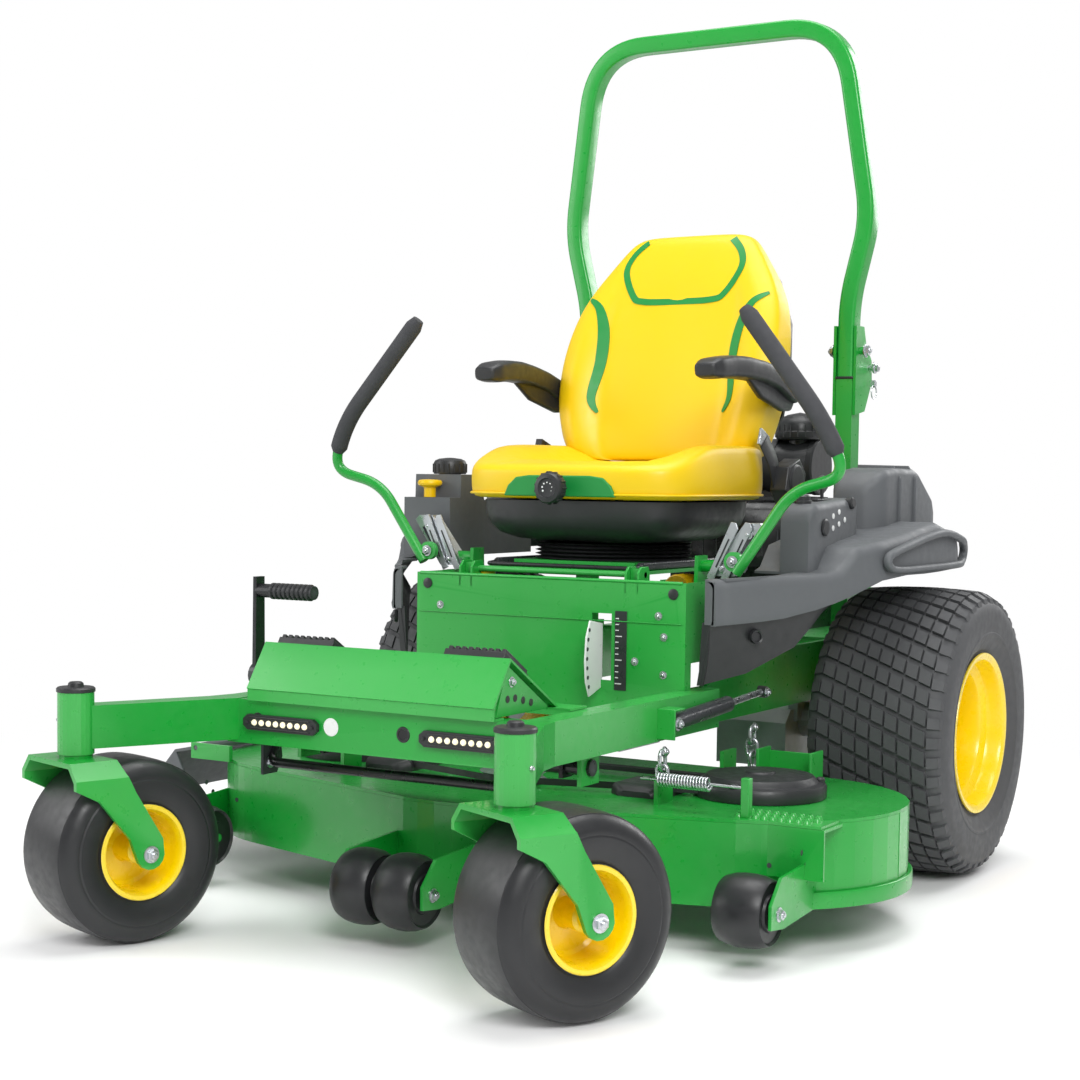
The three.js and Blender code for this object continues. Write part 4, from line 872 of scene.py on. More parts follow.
bm = bmesh.new()
path = bent(hoop_leg(1) + hoop_leg(-1)[::-1], 14)
sweep(bm, path, rounded(38, 45, 7, 5), up=(0, 1, 0))
finish("roll_bar_tube", bm, "roll_bar", GREEN, smooth=40, replaces=["rops_hoop"])
for side, sign in SIDES:
    soften(f"{side}_rops_post", GREEN, 1.8, 2)
    bm = bmesh.new()
    for x, way in ((sign * 366, sign), (sign * 290, -sign)):
        bolt(bm, (x - way * 2, POST_Y, 1106), (way, 0, 0), 13)
    finish(f"{side}_hinge_bolt", bm, "chassis", ZINC)
    bm = bmesh.new()
    pin = [(0, 0), (6.9, 0), (6.9, 14), (13, 15), (13, 19), (9, 20), (9, 26), (5, 27), (0, 27)]
    turn(bm, (sign * 346.8, 157.5, 1072), (sign, 0, 0), pin, 24)
    finish(f"{side}_lock_pin_turned", bm, f"{side}_lock_pin", ZINC, replaces=[f"{side}_rops_pin"])
    bm = bmesh.new()
    turn(bm, (sign * 360.4, 150, 1036), (sign, 0, 0), [(0, 0), (8, 0), (8, 9), (0, 9)], 6)
    loop = [(sign * 366, 150 + y, 1018 + z) for y, z in ring(15, 28)]
    sweep(bm, loop, ring(1.5, 8), up=(1, 0, 0), closed=True)
    finish(f"{side}_hairpin", bm, "chassis", ZINC)
    bm = bmesh.new()
    block(bm, sign * POST_X - 21, sign * POST_X + 21, 75, 124, 1044.2, 1049.5)
    finish(f"{side}_hinge_cushion", bm, "chassis", PLASTIC, bevel=1.5)
    bm = bmesh.new()
    for z in (385, 440):
        for y in (60, 140):
            bolt(bm, (sign * 344, y, z), (sign, 0, 0), 11)
    finish(f"{side}_post_bolts", bm, "chassis", ZINC)
print("roll bar")

# %% [markdown]
# ## Levers
# Each lap bar is bent round tube under a dipped foam sleeve. It bolts to a zinc-plated bracket with slots.

# %% Make the levers
for side, sign in SIDES:
    soften(f"{side}_lever_bracket", STEEL, 1.2, 2)
    points = [
        (362, -541, 642), (474, -541, 802, 46), (590, -556, 832, 46), (547, -573, 933, 60),
        (379, -553, 1141),
    ]
    bar = [(sign * p[0],) + p[1:] for p in points]
    bm = bmesh.new()
    sweep(bm, bent(bar, 12), ring(11, 20), up=(0, 1, 0))
    turn(bm, (sign * 354, -541, 664), (0, 1, 0), [(7.6, 0), (19, 0), (19, 12), (7.6, 12), (7.6, 0)], 32)
    finish(f"{side}_lap_bar_tube", bm, f"{side}_bar", GREEN, replaces=[f"{side}_lap_bar"])
    bm = bmesh.new()
    elbow, wrist, tip = (Vector((sign * p[0],) + p[1:3]) for p in points[2:])
    run = (tip - wrist).normalized()
    start = wrist.lerp(elbow, 0.62)
    path = bent([tuple(start), (*wrist, 58), tuple(tip + run * 8)], 14)
    path = path[:-1] + [path[-2].lerp(path[-1], k / 12) for k in range(1, 13)]
    lengths = [0.0]
    for a, b in zip(path, path[1:]):
        lengths.append(lengths[-1] + (b - a).length)
    grow = [0.66 + 0.34 * min(1.0, math.sqrt(min(d, lengths[-1] - d) / 9)) for d in lengths]
    sweep(bm, path, ring(18, 28), up=(0, 1, 0), scale=grow)
    finish(f"{side}_foam_grip", bm, f"{side}_bar", FOAM, smooth=50, replaces=[f"{side}_lap_bar_grip"])
    bm = bmesh.new()
    bolt(bm, (sign * 354, -543, 664), (0, -1, 0), 10)
    bolt(bm, (sign * 372, -510.5, 716), (0, -1, 0), 8)
    bolt(bm, (sign * 318, -510.5, 648), (0, -1, 0), 8)
    finish(f"{side}_lever_bolts", bm, f"{side}_lever", ZINC)
    bm = bmesh.new()
    for shift in (0, 30):
        strap = [
            (288 + shift, 630), (300 + shift, 624), (352 + shift, 726), (348 + shift, 738),
            (338 + shift, 740),
        ]
        plate(bm, [(sign * x, z) for x, z in strap], -518, -513.5, axis="y")
        mark = [(306 + shift, 652), (309 + shift, 650), (336 + shift, 706), (333 + shift, 708)]
        plate(bm, [(sign * x, z) for x, z in mark], -518.6, -517.9, axis="y", material=1)
    finish(f"{side}_lever_straps", bm, f"{side}_lever", [STEEL, BLACK], bevel=1)
    bm = bmesh.new()
    turn(bm, (sign * 352, -490, 652), (sign, 0, 0), [(0, 0), (11, 0), (11, 5), (8, 7), (0, 7)], 6)
    finish(f"{side}_lever_nut", bm, "chassis", ZINC)
for name in ("lift_pedal", "lift_shaft", "throttle_lever"):
    soften(name, BLACK, 1.2, 2)
bm = bmesh.new()
for i in range(9):
    x = -232 - i * 10.5
    turn(bm, (x, -1100, 605), (-1, 0, 0), [(13.2, 0), (15.4, 1.5), (15.4, 6), (13.2, 7.5)], 24)
finish("pedal_rubber", bm, "pedal", PLASTIC)
print("levers")

# %% [markdown]
# ## Frame, bodywork, tank
# Welded plate keeps crisp but rubbed edges, their paint paler, partly wear and partly a painted highlight.
# Moulded fenders have generous radii and a spark-eroded texture.

# %% Finish the frame and the bodywork
for name in (
    "left_frame_rail", "right_frame_rail", "front_axle", "rear_frame", "foot_platform", "front_panel",
):
    soften(name, GREEN, 1.6, 2)
soften("fuel_tank", SHELL, 9, 4)


# %% [markdown]
# ## Fenders
# A fender is one moulding with a rolled rim, which a box cut to shape would not show.
# It is lofted: closed sections stand across the machine, sized by a short table along its length, and finer
# sections are filled in between, so that each edge runs in a smooth line.

# %% Define how a moulded shell is drawn
def stations(table, fine=14):
    """Rows of numbers that start with a place along Y, filled in between at a finer step."""
    rows = [table[0]]
    for a, b in zip(table, table[1:]):
        count = max(1, round((b[0] - a[0]) / fine))
        rows += [tuple(u + (v - u) * k / count for u, v in zip(a, b)) for k in range(1, count + 1)]
    return rows


def corner(x, z, radius, start, steps=6):
    """A quarter of a circle, turning a wall into a top."""
    angles = [math.radians(start + 90 * i / steps) for i in range(steps + 1)]
    return [(x + radius * math.cos(angle), z + radius * math.sin(angle)) for angle in angles]


def loft(bm, rows, section, sign, material=0):
    """Joins closed sections, drawn in X and Z at places along Y, into one skin with both ends filled."""
    skin(
        bm, [[bm.verts.new(at(sign * x, row[0], z)) for x, z in section(row)] for row in rows],
        material=material,
    )


FENDER_IN = 347


def shell_section(row):
    """The upper shell: a top, a rounded shoulder and a band with a rolled rim, and the same inside."""
    _, out, top, low, start = row
    radius, wall = 20, 5
    band = [(out + 1.5, low + 16), (out + 3.5, low + 8), (out + 1, low), (out - wall - 3, low)]
    outer = [(start, top)] + corner(out - radius, top - radius, radius, 0)[::-1] + band
    inner = [(out - wall, low + 10)] + corner(
        out - radius, top - radius, radius - wall, 0,
    ) + [(start, top - wall)]
    return outer + inner


def fender_rows(side):
    """(along Y, outer X, top, lower rim, where the top begins) for one side's upper shell."""
    hole = 434
    gap = 472 if side == "right" else 348
    edge = [
        (-646, 368, 634, 546, FENDER_IN), (-626, 381, 635, 548, FENDER_IN), (-624, 384, 635, 548, 380),
        (-560, 425, 638, 553, 418), (-520, 452, 640, 558, hole), (-462, 490, 642, 572, hole),
        (-460, 491, 642, 572, max(hole, gap)), (-428, 512, 643, 583, max(hole, gap)),
        (-426, 513, 643, 583, gap), (-400, 527, 650, 592, gap), (-360, 545, 692, 606, gap),
        (-300, 566, 702, 626, gap), (-200, 580, 714, 634, gap), (-118, 588, 728, 634, gap),
        (-116, 588, 728, 634, FENDER_IN + 8), (-45, 594, 738, 636, FENDER_IN + 8),
        (50, 598, 716, 640, FENDER_IN + 8), (110, 580, 702, 644, FENDER_IN + 8),
        (150, 560, 698, 648, FENDER_IN + 8), (200, 500, 694, 652, FENDER_IN + 8),
        (236, 420, 691, 656, FENDER_IN + 8),
    ]
    return stations(edge, 12)


def skirt_section(row):
    """The darker panel below the shell, set in and leaning in towards its foot."""
    _, out, low, foot = row
    outer = [(out - 9, low + 14), (out - 9, low + 2), (out - 12, low - 6), (out - 30, foot)]
    return outer + [(out - 36, foot), (out - 16, low + 14)]


def hump_section(row):
    """A closed box with a flat foot and two rounded top edges."""
    _, inner, out, top, foot = row
    radius = 15
    outer_edge = corner(out - radius, top - radius, radius, 0)
    inner_edge = corner(inner + radius, top - radius, radius, 90)
    return [(inner, foot), (out, foot)] + outer_edge + inner_edge


# %% [markdown]
# Each fender is an upper shell, a set-in skirt, a closed front, a raised hump and a long handle.
# Only the places where the top begins differ from side to side: the right one is cut away for the tank.

# %% Make the fenders
for side, sign in SIDES:
    bm = bmesh.new()
    loft(bm, fender_rows(side), shell_section, sign)
    lower = [
        (-644, 368, 546, 432), (-560, 425, 553, 452), (-470, 485, 570, 500), (-430, 511, 583, 548),
        (-408, 523, 590, 576),
    ]
    loft(bm, stations(lower, 12), skirt_section, sign, material=1)
    upper_front = ((FENDER_IN, 629), (366, 629), (366, 548), (FENDER_IN, 548))
    plate(bm, [(sign * x, z) for x, z in upper_front], -646, -641, axis="y")
    lower_front = (
        (FENDER_IN, 552), (358, 552), (352, 470), (344, 432), (336, 432), (336, 470), (FENDER_IN - 6, 552),
    )
    plate(bm, [(sign * x, z) for x, z in lower_front], -643, -638, axis="y", material=1)
    grommet = [(0, -6), (10, -6), (10, -2.5), (13, -1), (14, -4), (14, -8)]
    turn(bm, (sign * 421, -566, 524), (sign * 0.835, -0.55, 0), grommet, 28, material=1)
    finish(f"{side}_fender_shell", bm, "chassis", [SHELL, PLASTIC], smooth=38, replaces=[f"{side}_fender"])

    bm = bmesh.new()
    begin = -148 if side == "left" else -114
    hump = [
        (begin, 398, 462, 802, 690), (begin + 8, 394, 474, 818, 690), (begin + 30, 393, 496, 838, 690),
        (begin + 44, 393, 499, 845, 690), (-60, 393, 500, 850, 690), (60, 393, 500, 849, 690),
        (84, 393, 500, 842, 690), (170, 393, 499, 790, 690), (200, 393, 492, 768, 690),
        (220, 395, 476, 752, 690), (226, 400, 460, 742, 690),
    ]
    loft(bm, stations(hump, 10), hump_section, sign)
    for rib in range(2):
        y = -40 + rib * 90
        band_path = [
            (sign * 500.5, y, 700), (sign * 500.5, y, 826), (sign * 486, y, 849.5), (sign * 408, y, 850.5),
        ]
        sweep(bm, band_path, rounded(12, 5, 2, 2), up=(0, 1, 0))
    finish(f"{side}_fender_hump", bm, "chassis", SHELL, smooth=38)

    bm = bmesh.new()
    # the moulded handle: a closed rib, as (y, z) points with the outer X of each
    grip = [
        (-300, 668), (-262, 684), (-60, 716), (60, 702), (112, 686), (124, 668), (104, 652), (40, 648),
        (-120, 646), (-250, 646), (-292, 652),
    ]
    outer_x = [578, 583, 600, 602, 592, 588, 590, 602, 594, 584, 580]
    loop = []
    count = len(grip)
    for i in range(count):
        near = [(i + k) % count for k in (-1, 0, 1, 2)]
        p0, p1, p2, p3 = (Vector((outer_x[n], *grip[n])) for n in near)
        loop += [through(p0, p1, p2, p3, k / 5) for k in range(5)]
    sweep(bm, [(sign * v.x, v.y, v.z) for v in loop], rounded(15, 18, 7, 4), up=(1, 0, 0), closed=True)
    finish(f"{side}_fender_handle", bm, "chassis", SHELL, smooth=50)
print("fenders")

# %% [markdown]
# ## Pod and lamps
# The pod is a closed box with rounded edges, lofted like the humps. Switches are turned profiles.
# Each lamp is a bezel from the CAD model with a row of small diodes in front of it.

# %% Make the control pod and the lamps
# the control pod on the left fender, with its key switch, choke knob and hour meter
bm = bmesh.new()
pod = [
    (-428, 403, 462, 752, 641), (-420, 400, 468, 766, 641), (-404, 399, 471, 776, 641),
    (-340, 399, 472, 780, 641), (-210, 399, 472, 787, 641), (-194, 402, 468, 782, 641),
    (-188, 408, 460, 770, 641),
]
loft(bm, stations(pod, 10), hump_section, 1)
finish("control_pod", bm, "chassis", SHELL, smooth=38)
bm = bmesh.new()
block(bm, 429, 441, -338, -262, 781, 785.5)
finish("throttle_slot", bm, "chassis", PLASTIC, bevel=1.5)
bm = bmesh.new()
key_switch = [(0, 3), (14, 3), (15, 0), (17, 0), (17, 5), (14.5, 6.5), (14.5, 14), (11, 17), (0, 17)]
turn(bm, (432, -388, 777), (0, -0.05, 1), key_switch, 32)
turn(bm, (462, -236, 776), (1, 0, 0.1), [(0, 0), (10, 0), (12, 3), (12, 14), (9, 17), (0, 17)], 24)
turn(bm, (472, -372, 730), (1, 0, 0), [(0, 0), (17, 0), (17, 3), (14, 5), (0, 5)], 32)
finish("pod_switches", bm, "chassis", PLASTIC)
bm = bmesh.new()
for y, z in ((-330, 728), (-300, 736), (-270, 744), (-330, 752), (-300, 760)):
    turn(bm, (472.4, y, z), (1, 0, 0), [(0, 0), (5.5, 0), (5.5, 1.2), (4, 1.6), (0, 1.6)], 16)
finish("pod_marks", bm, "chassis", WHITE)
LAMP_X, LAMP_Z = 190, 380  # middle of each headlight
for side, sign in SIDES:
    soften(f"{side}_headlight", PLASTIC, 1.6, 3)
    soften(f"{side}_drive_unit", CAST, 3, 2)
    bm = bmesh.new()
    diode = [(0, 0), (5.6, 0), (5.6, 1.2), (4.4, 3.2), (0, 4.2)]
    for i in range(8):
        turn(bm, (sign * LAMP_X - 56 + i * 16, -1247.6, LAMP_Z), (0, -1, 0), diode, 18)
    finish(f"{side}_led_row", bm, "chassis", LENS)
    bm = bmesh.new()
    for z in (LAMP_Z + 9.5, LAMP_Z - 9.5):
        sweep(bm, [(sign * LAMP_X - 66, -1248.4, z), (sign * LAMP_X + 66, -1248.4, z)], ring(1.3, 8))
    for end in (-72, 72):
        bolt(bm, (sign * LAMP_X + end, -1248, LAMP_Z), (0, -1, 0), 4)
    finish(f"{side}_headlight_trim", bm, "chassis", PLASTIC)
print("control pod and lamps")

# %% [markdown]
# ## Platform and panel
# The pads are rubber with ribs that grip a boot. Each rib is a low block that leans with the slope,
# so the pad and its ribs are built from four corners on the slope and the same four lifted off it.

# %% Make the foot pads
# two ribbed rubber pads on the platform, just behind its ridge
slope_start, slope_end = Vector((0, -1192, 517)), Vector((0, -1046, 429))
for side, sign in SIDES:
    bm = bmesh.new()
    down = (slope_end - slope_start).normalized()
    lift = Vector((0, -down.z, down.y))
    lift = lift if lift.z > 0 else -lift
    ribs = [(122 + i * 13.4, 130 + i * 13.4, 3, 85, 20.0) for i in range(9)]
    for x0, x1, d0, d1, h in [(118, 240, 0, 88, 13.0)] + ribs:
        corners = []
        for x, d in ((x0, d0), (x1, d0), (x1, d1), (x0, d1)):
            corners.append(slope_start + down * d + Vector((sign * x, 0, 0)))
        low = [bm.verts.new(at(*(c + lift * 2.2))) for c in corners]
        top = [bm.verts.new(at(*(c + lift * (2.2 + h)))) for c in corners]
        bm.faces.new(low)
        bm.faces.new(top)
        for i in range(4):
            bm.faces.new((low[i], low[(i + 1) % 4], top[(i + 1) % 4], top[i]))
    finish(f"{side}_foot_pad", bm, "chassis", PLASTIC, bevel=1.4, segments=2)
print("foot pads")

# %% [markdown]
# The panel carries plugs, bolts and a scale for the cutting height, with plain bars and no figures.

# %% Make the panel's fittings
# black plugs and bolt heads on the panel, and the height scale beside its slot
PANEL_FACE = -646  # front of the panel under the seat
bm = bmesh.new()
plug = [(0, 1.5), (5, 1.5), (6, 0.4), (10.5, 0.4), (10.5, 2), (8, 3.2), (0, 3.2)]
for x in (-281, 281):
    turn(bm, (x, PANEL_FACE, 603), (0, -1, 0), plug, 28)
finish("panel_plugs", bm, "chassis", PLASTIC)
bm = bmesh.new()
for x, z in ((-250, 560), (250, 560), (200, 470), (262, 448), (262, 520), (-262, 450)):
    bolt(bm, (x, PANEL_FACE, z), (0, -1, 0), 7)
finish("panel_bolts", bm, "chassis", ZINC)
bm = bmesh.new()
plate(bm, [(156, 412), (182, 412), (182, 566), (156, 566)], -647.6, -646.2, axis="y")
finish("height_scale", bm, "chassis", BLACK, bevel=0.4)
bm = bmesh.new()
for i in range(12):
    z = 424 + i * 11.5
    end = 158 + (14 if i % 4 == 0 else 7)
    plate(bm, [(158, z), (end, z), (end, z + 1.8), (158, z + 1.8)], -648.3, -647.5, axis="y")
finish("height_scale_marks", bm, "chassis", WHITE)
bm = bmesh.new()
plate(bm, [(-300, 545), (300, 545), (300, 547), (-300, 547)], -649, -646, axis="y")
finish("panel_fold", bm, "chassis", GREEN, bevel=0.8)
bm = bmesh.new()
turn(bm, (-166, -600, 603), (0, 0, 1), [(0, 0), (9, 0), (9, 14), (16, 15), (16, 26), (13, 29), (0, 30)], 30)
finish("yellow_cap", bm, "chassis", YELLOW_PLASTIC)

# the height quadrant that stands out of the slot, with its row of pin holes
bm = bmesh.new()
quadrant = [(-640, 416), (-690, 400), (-704, 430), (-708, 470), (-704, 516), (-690, 548), (-640, 540)]
plate(bm, quadrant, 122, 126, axis="x")
finish("height_quadrant", bm, "chassis", WHITE, bevel=1.2)
bm = bmesh.new()
# the pin holes are flat black discs: painted shade where the holes are
for i in range(7):
    t = i / 6
    turn(
        bm, (126.2, -694 - 8 * math.sin(math.pi * t), 420 + 110 * t), (1, 0, 0),
        [(0, 0), (4, 0), (4, 0.4), (0, 0.4)], 14,
    )
finish("quadrant_holes", bm, "chassis", BLACK)
# the panel's top fold: two hinge tabs and a rolled edge
bm = bmesh.new()
tab = [(PANEL_FACE, 600), (PANEL_FACE, 640), (-634, 652), (-606, 652), (-600, 640), (-600, 600)]
for x in (-190, 190):
    for near in (x - 16, x + 11):
        plate(bm, tab, near, near + 5, axis="x")
sweep(bm, [(-300, -645, 624), (300, -645, 624)], ring(3.4, 12))
finish("panel_tabs", bm, "chassis", GREEN, bevel=1)
# three plugged holes along the front beam, and an open one
BEAM_FACE = -1239  # front of the beam
bm = bmesh.new()
for x, z in ((70, 382), (-245, 383), (262, 383)):
    plug = [(0, 0.3), (9, 0.3), (9.5, 1.2), (13, 1.2), (13.5, 0.4), (14, 0.1)]
    turn(bm, (x, BEAM_FACE, z), (0, -1, 0), plug, 32)
finish("beam_plugs", bm, "chassis", BLACK)
bm = bmesh.new()
turn(bm, (-83, BEAM_FACE, 383), (0, -1, 0), [(0, 0.3), (14, 0.3), (14.5, 1.0), (16, 0.2)], 36)
finish("beam_eye", bm, "chassis", WHITE)
# the deck's front sway bar and the plates it hangs from
bm = bmesh.new()
bar = [(-290, -1128, 330), (-290, -1150, 294, 24), (240, -1150, 294, 24), (240, -1128, 330)]
sweep(bm, bent(bar, 8), ring(9, 18), up=(0, 1, 0))
for x in (-292, 242):
    outline = [(-1168, 272), (-1168, 344), (-1120, 344), (-1112, 300), (-1128, 272)]
    plate(bm, outline, x - 3, x + 3, axis="x")
    bolt(bm, (x + 3, -1148, 294), (1, 0, 0), 10, material=1)
finish("sway_bar", bm, "chassis", [BLACK, ZINC])
# the web plates that close the platform's two ends, with their holes and bolts
bm = bmesh.new()
for sign in (1, -1):
    web = [(-1236, 424), (-1206, 500), (-1196, 506), (-1070, 430), (-1070, 424)]
    plate(bm, web, *sorted((sign * 250, sign * 254)), axis="x")
    # each hole is a flat black disc: painted shade where the hole is
    for y, z in ((-1200, 452), (-1176, 452), (-1150, 446), (-1124, 440)):
        profile = [(0, 0), (6.5, 0), (6.5, 0.5), (0, 0.5)]
        turn(bm, (sign * 254.2, y, z), (sign, 0, 0), profile, 20, material=1)
    bolt(bm, (sign * 254, -1188, 480), (sign, 0, 0), 8, material=2)
finish("platform_webs", bm, "chassis", [GREEN, BLACK, ZINC], bevel=0.6)
print("panel, beam and platform fittings")

# %% [markdown]
# ## Caps and knobs
# A cap is a turned profile, and its grip is a row of thin ribs set round the same circle.

# %% Make the caps and knobs
bm = bmesh.new()
cap = (-405, -380, 825)
profile = [(25, 0.6), (35, 0.6), (36, 3), (36, 24), (33, 30), (24, 34), (8, 36), (0, 36.4)]
turn(bm, cap, (0, 0, 1), profile, 48)
for u, v in ring(36, 18):
    x, y = cap[0] + u, cap[1] + v
    sweep(bm, [(x, y, 829), (x, y, 848)], ring(2.2, 8), up=(1, 0, 0))
finish("fuel_cap_ribbed", bm, "tank_cap", PLASTIC, replaces=["fuel_cap"])
bm = bmesh.new()
mushroom = [
    (6.6, 0.5), (13, 0.5), (13, 21), (17, 23), (25, 26), (26.5, 29), (26.5, 33), (24, 37), (12, 38.5),
    (0, 38.5),
]
turn(bm, (-415, -443, 775), (0, 0, 1), mushroom, 40)
finish("pto_knob_turned", bm, "pto_switch", YELLOW_PLASTIC, replaces=["pto_knob"])
print("caps and knobs")

# %% [markdown]
# ## Deck
# The deck is welded plate, finished from the CAD model. Belt covers are moulded domes with a stepped rim, and
# rollers are moulded barrels, so both are turned profiles.

# %% Finish the deck
soften("deck_top", GREEN, 1.6, 2)
soften("deck_front_skirt", GREEN, 1.2, 2)
soften("deck_rear_skirt", GREEN, 1.2, 2)
soften("discharge_chute", SHELL, 2.5, 3)
for name in ("left_blade", "center_blade", "right_blade"):
    soften(name, STEEL, 0.8, 1)
DX = 5  # the deck hangs this far to the operator's left
DECK_TOP = 234.6  # upper face of the deck plate
SPINDLES = {"left": (460 + DX, -640), "right": (-460 + DX, -640), "center": (DX, -770)}
for side in ("left", "right"):
    x, y = SPINDLES[side]
    bm = bmesh.new()
    dome = [
        (123, 236), (124, 240), (124, 256), (121, 261), (108, 264), (104, 270), (99, 274.5), (60, 277),
        (30, 278), (26, 281), (0, 282), (0, 277), (26, 276), (96, 270), (118, 256), (119, 236), (123, 236),
    ]
    turn(bm, (x, y, 0), (0, 0, 1), dome, 72)
    for u, v in ring(112, 3, 0.5):
        turn(bm, (x + u, y + v, 262), (0, 0, 1), [(0, 0), (9, 0), (9, 6), (6, 9), (0, 9)], 20)
    finish(f"{side}_belt_dome", bm, "deck", PLASTIC, replaces=[f"{side}_belt_cover"])
bm = bmesh.new()
lip = []
TANGENT = -74.2  # where the deck's straight front meets its round end, in degrees
x, y = SPINDLES["left"]
for i in range(50):
    angle = math.radians(TANGENT + 164.2 * i / 49)
    lip.append((x + 279 * math.cos(angle), y + 279 * math.sin(angle), 96))
sweep(bm, lip, rounded(9, 30, 2.5, 3), up=(0, 0, 1))
finish("skirt_lip", bm, "deck", GREEN)
bm = bmesh.new()
tooth = [(7.5, 0), (6, 5), (3.8, 7.5), (2.5, 7.5), (2.5, 0.5), (7.5, 0)]
for i in range(9):
    for y, shift in ((-872, 0), (-846, 8), (-820, 0)):
        turn(bm, (530 + i * 16 + shift, y, DECK_TOP), (0, 0, 1), tooth, 14)
block(bm, 512, 690, -884, -806, 229.2, DECK_TOP)
finish("step_grip", bm, "deck", GREEN, smooth=25)
barrel = [
    (8.6, -38), (34, -38), (36, -34), (54, -34), (58, -38), (61, -35), (66, -22), (68, -8), (68, 8),
    (66, 22), (61, 35), (58, 38), (54, 34), (36, 34), (34, 38), (8.6, 38),
]
long_barrel = [(r * 0.926 if r > 10 else r, a * 1.16) for r, a in barrel]
bm = bmesh.new()
for shift in (-45, 45):
    turn(bm, (DX + shift, -1190, 100), (1, 0, 0), barrel, 48)
turn(bm, (DX, -1190, 100), (1, 0, 0), [(8.6, -7), (20, -7), (20, 7), (8.6, 7), (8.6, -7)], 24)
finish("front_rollers_moulded", bm, "front_roller_pair", SMOOTH_TYRE, smooth=24, replaces=["front_rollers"])
for side, sign in SIDES:
    bm = bmesh.new()
    turn(bm, (sign * 600 + DX, -990, 100), (1, 0, 0), long_barrel, 48)
    finish(f"{side}_side_roller_moulded", bm, f"{side}_gauge_roller", SMOOTH_TYRE, smooth=24,
           replaces=[f"{side}_side_roller"])
bm = bmesh.new()
for x, y, z, way in (
    (101, -1190, 100, 1), (-97, -1190, 100, -1), (661, -990, 100, 1), (-651, -990, 100, -1),
):
    bolt(bm, (x, y, z), (way, 0, 0), 11)
for x, y in SPINDLES.values():
    bolt(bm, (x, y, 259), (0, 0, 1), 13)
finish("deck_bolts", bm, "deck", ZINC)
print("deck covers, rollers and grip")

# %% [markdown]
# A hole too small to matter to the shape is drawn as a thin dark disc, painted shade in place of the hole.
# The guards are lofted boxes.

# %% Make the deck's small plates
# dark discs as painted shade for the holes in the side and front plates, the rear hanger bracket and the
# guards over the belt
bm = bmesh.new()
for sign in (1, -1):
    for y, z in ((-900, 190), (-880, 168), (-860, 146)):
        turn(bm, (DX + sign * 656.3, y, z), (sign, 0, 0), [(0, 0), (5, 0), (5, 0.5), (0, 0.5)], 18)
    for x, z in ((530, 158), (560, 158), (590, 158)):
        turn(bm, (DX + sign * x, -884.3, z), (0, -1, 0), [(0, 0), (4.5, 0), (4.5, 0.5), (0, 0.5)], 18)
finish("deck_holes", bm, "deck", BLACK)
bm = bmesh.new()
for x in (395, 505):
    block(bm, x - 3, x + 3, -500, -440, DECK_TOP, 300)
block(bm, 395, 505, -446, -440, DECK_TOP, 292)
finish("rear_hanger_bracket", bm, "deck", GREEN, bevel=1.5)
bm = bmesh.new()
guard = [
    (-800, 250, 322, 246, 235.2), (-792, 240, 330, 252, 235.2), (-780, 226, 338, 258, 235.2),
    (-700, 226, 338, 258, 235.2), (-640, 240, 330, 252, 235.2), (-632, 250, 322, 246, 235.2),
]
for sign in (1, -1):
    loft(bm, stations(guard, 10), hump_section, sign)
finish("belt_guards", bm, "deck", PLASTIC, smooth=38)
print("deck plates and guards")

# %% [markdown]
# ## Springs and chains
# A spring is a round section carried along a helix. A chain is oval links, each turned a quarter.
# The chains hang from the frame and hold the deck; each rides no body and is baked into place.

# %% Make the spring and the chains
# tension spring and the hanging chains
bm = bmesh.new()
coil = []
turns = 17
for i in range(turns * 12 + 1):
    angle = 2 * math.pi * i / 12
    t = i / (turns * 12)
    coil.append((372 + 100 * t, -872 + 11 * math.cos(angle), 286 + 11 * math.sin(angle)))
sweep(bm, coil, ring(2.4, 8), up=(1, 0, 0))
sweep(bm, [(336, -872, 286), (372, -872, 286)], ring(3.4, 10), up=(0, 1, 0))
sweep(bm, [(472, -872, 286), (544, -872, 286)], ring(2.6, 10), up=(0, 1, 0))
finish("idler_spring", bm, "deck", ZINC, smooth=50)
bm = bmesh.new()
block(bm, 536, 552, -880, -864, DECK_TOP, 304)
finish("spring_post", bm, "deck", GREEN, bevel=1.5)


def chain(name, top, links):
    """Long oval links hanging one in the next, each turned a quarter from the last."""
    bm = bmesh.new()
    for i in range(links):
        z = top[2] - 16 - i * 25
        oval = []
        for k in range(24):
            angle = 2 * math.pi * k / 24
            u, v = 11 * math.cos(angle), 11 * math.sin(angle) + (7 if math.sin(angle) > 0 else -7)
            oval.append((top[0] + u, top[1], z + v) if i % 2 else (top[0], top[1] + u, z + v))
        sweep(bm, oval, ring(3.8, 8), up=(1, 0, 0) if i % 2 == 0 else (0, 1, 0), closed=True)
    bolt(bm, (top[0] + 3, top[1], top[2]), (1, 0, 0), 9)
    piece = finish(name, bm, None, ZINC, smooth=50)
    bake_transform(piece)


for side, sign in SIDES:
    chain(f"{side}_front_chain", (sign * 352, -820, 328), 3)
    chain(f"{side}_rear_chain", (sign * 352, -430, 332), 3)
print("springs and chains")

# %% [markdown]
# ## Dampers and belt
# A damper is a wide tube and a thin rod between two eyes. The belt is a wedge-shaped section,
# carried round three arcs that meet in straight lines.

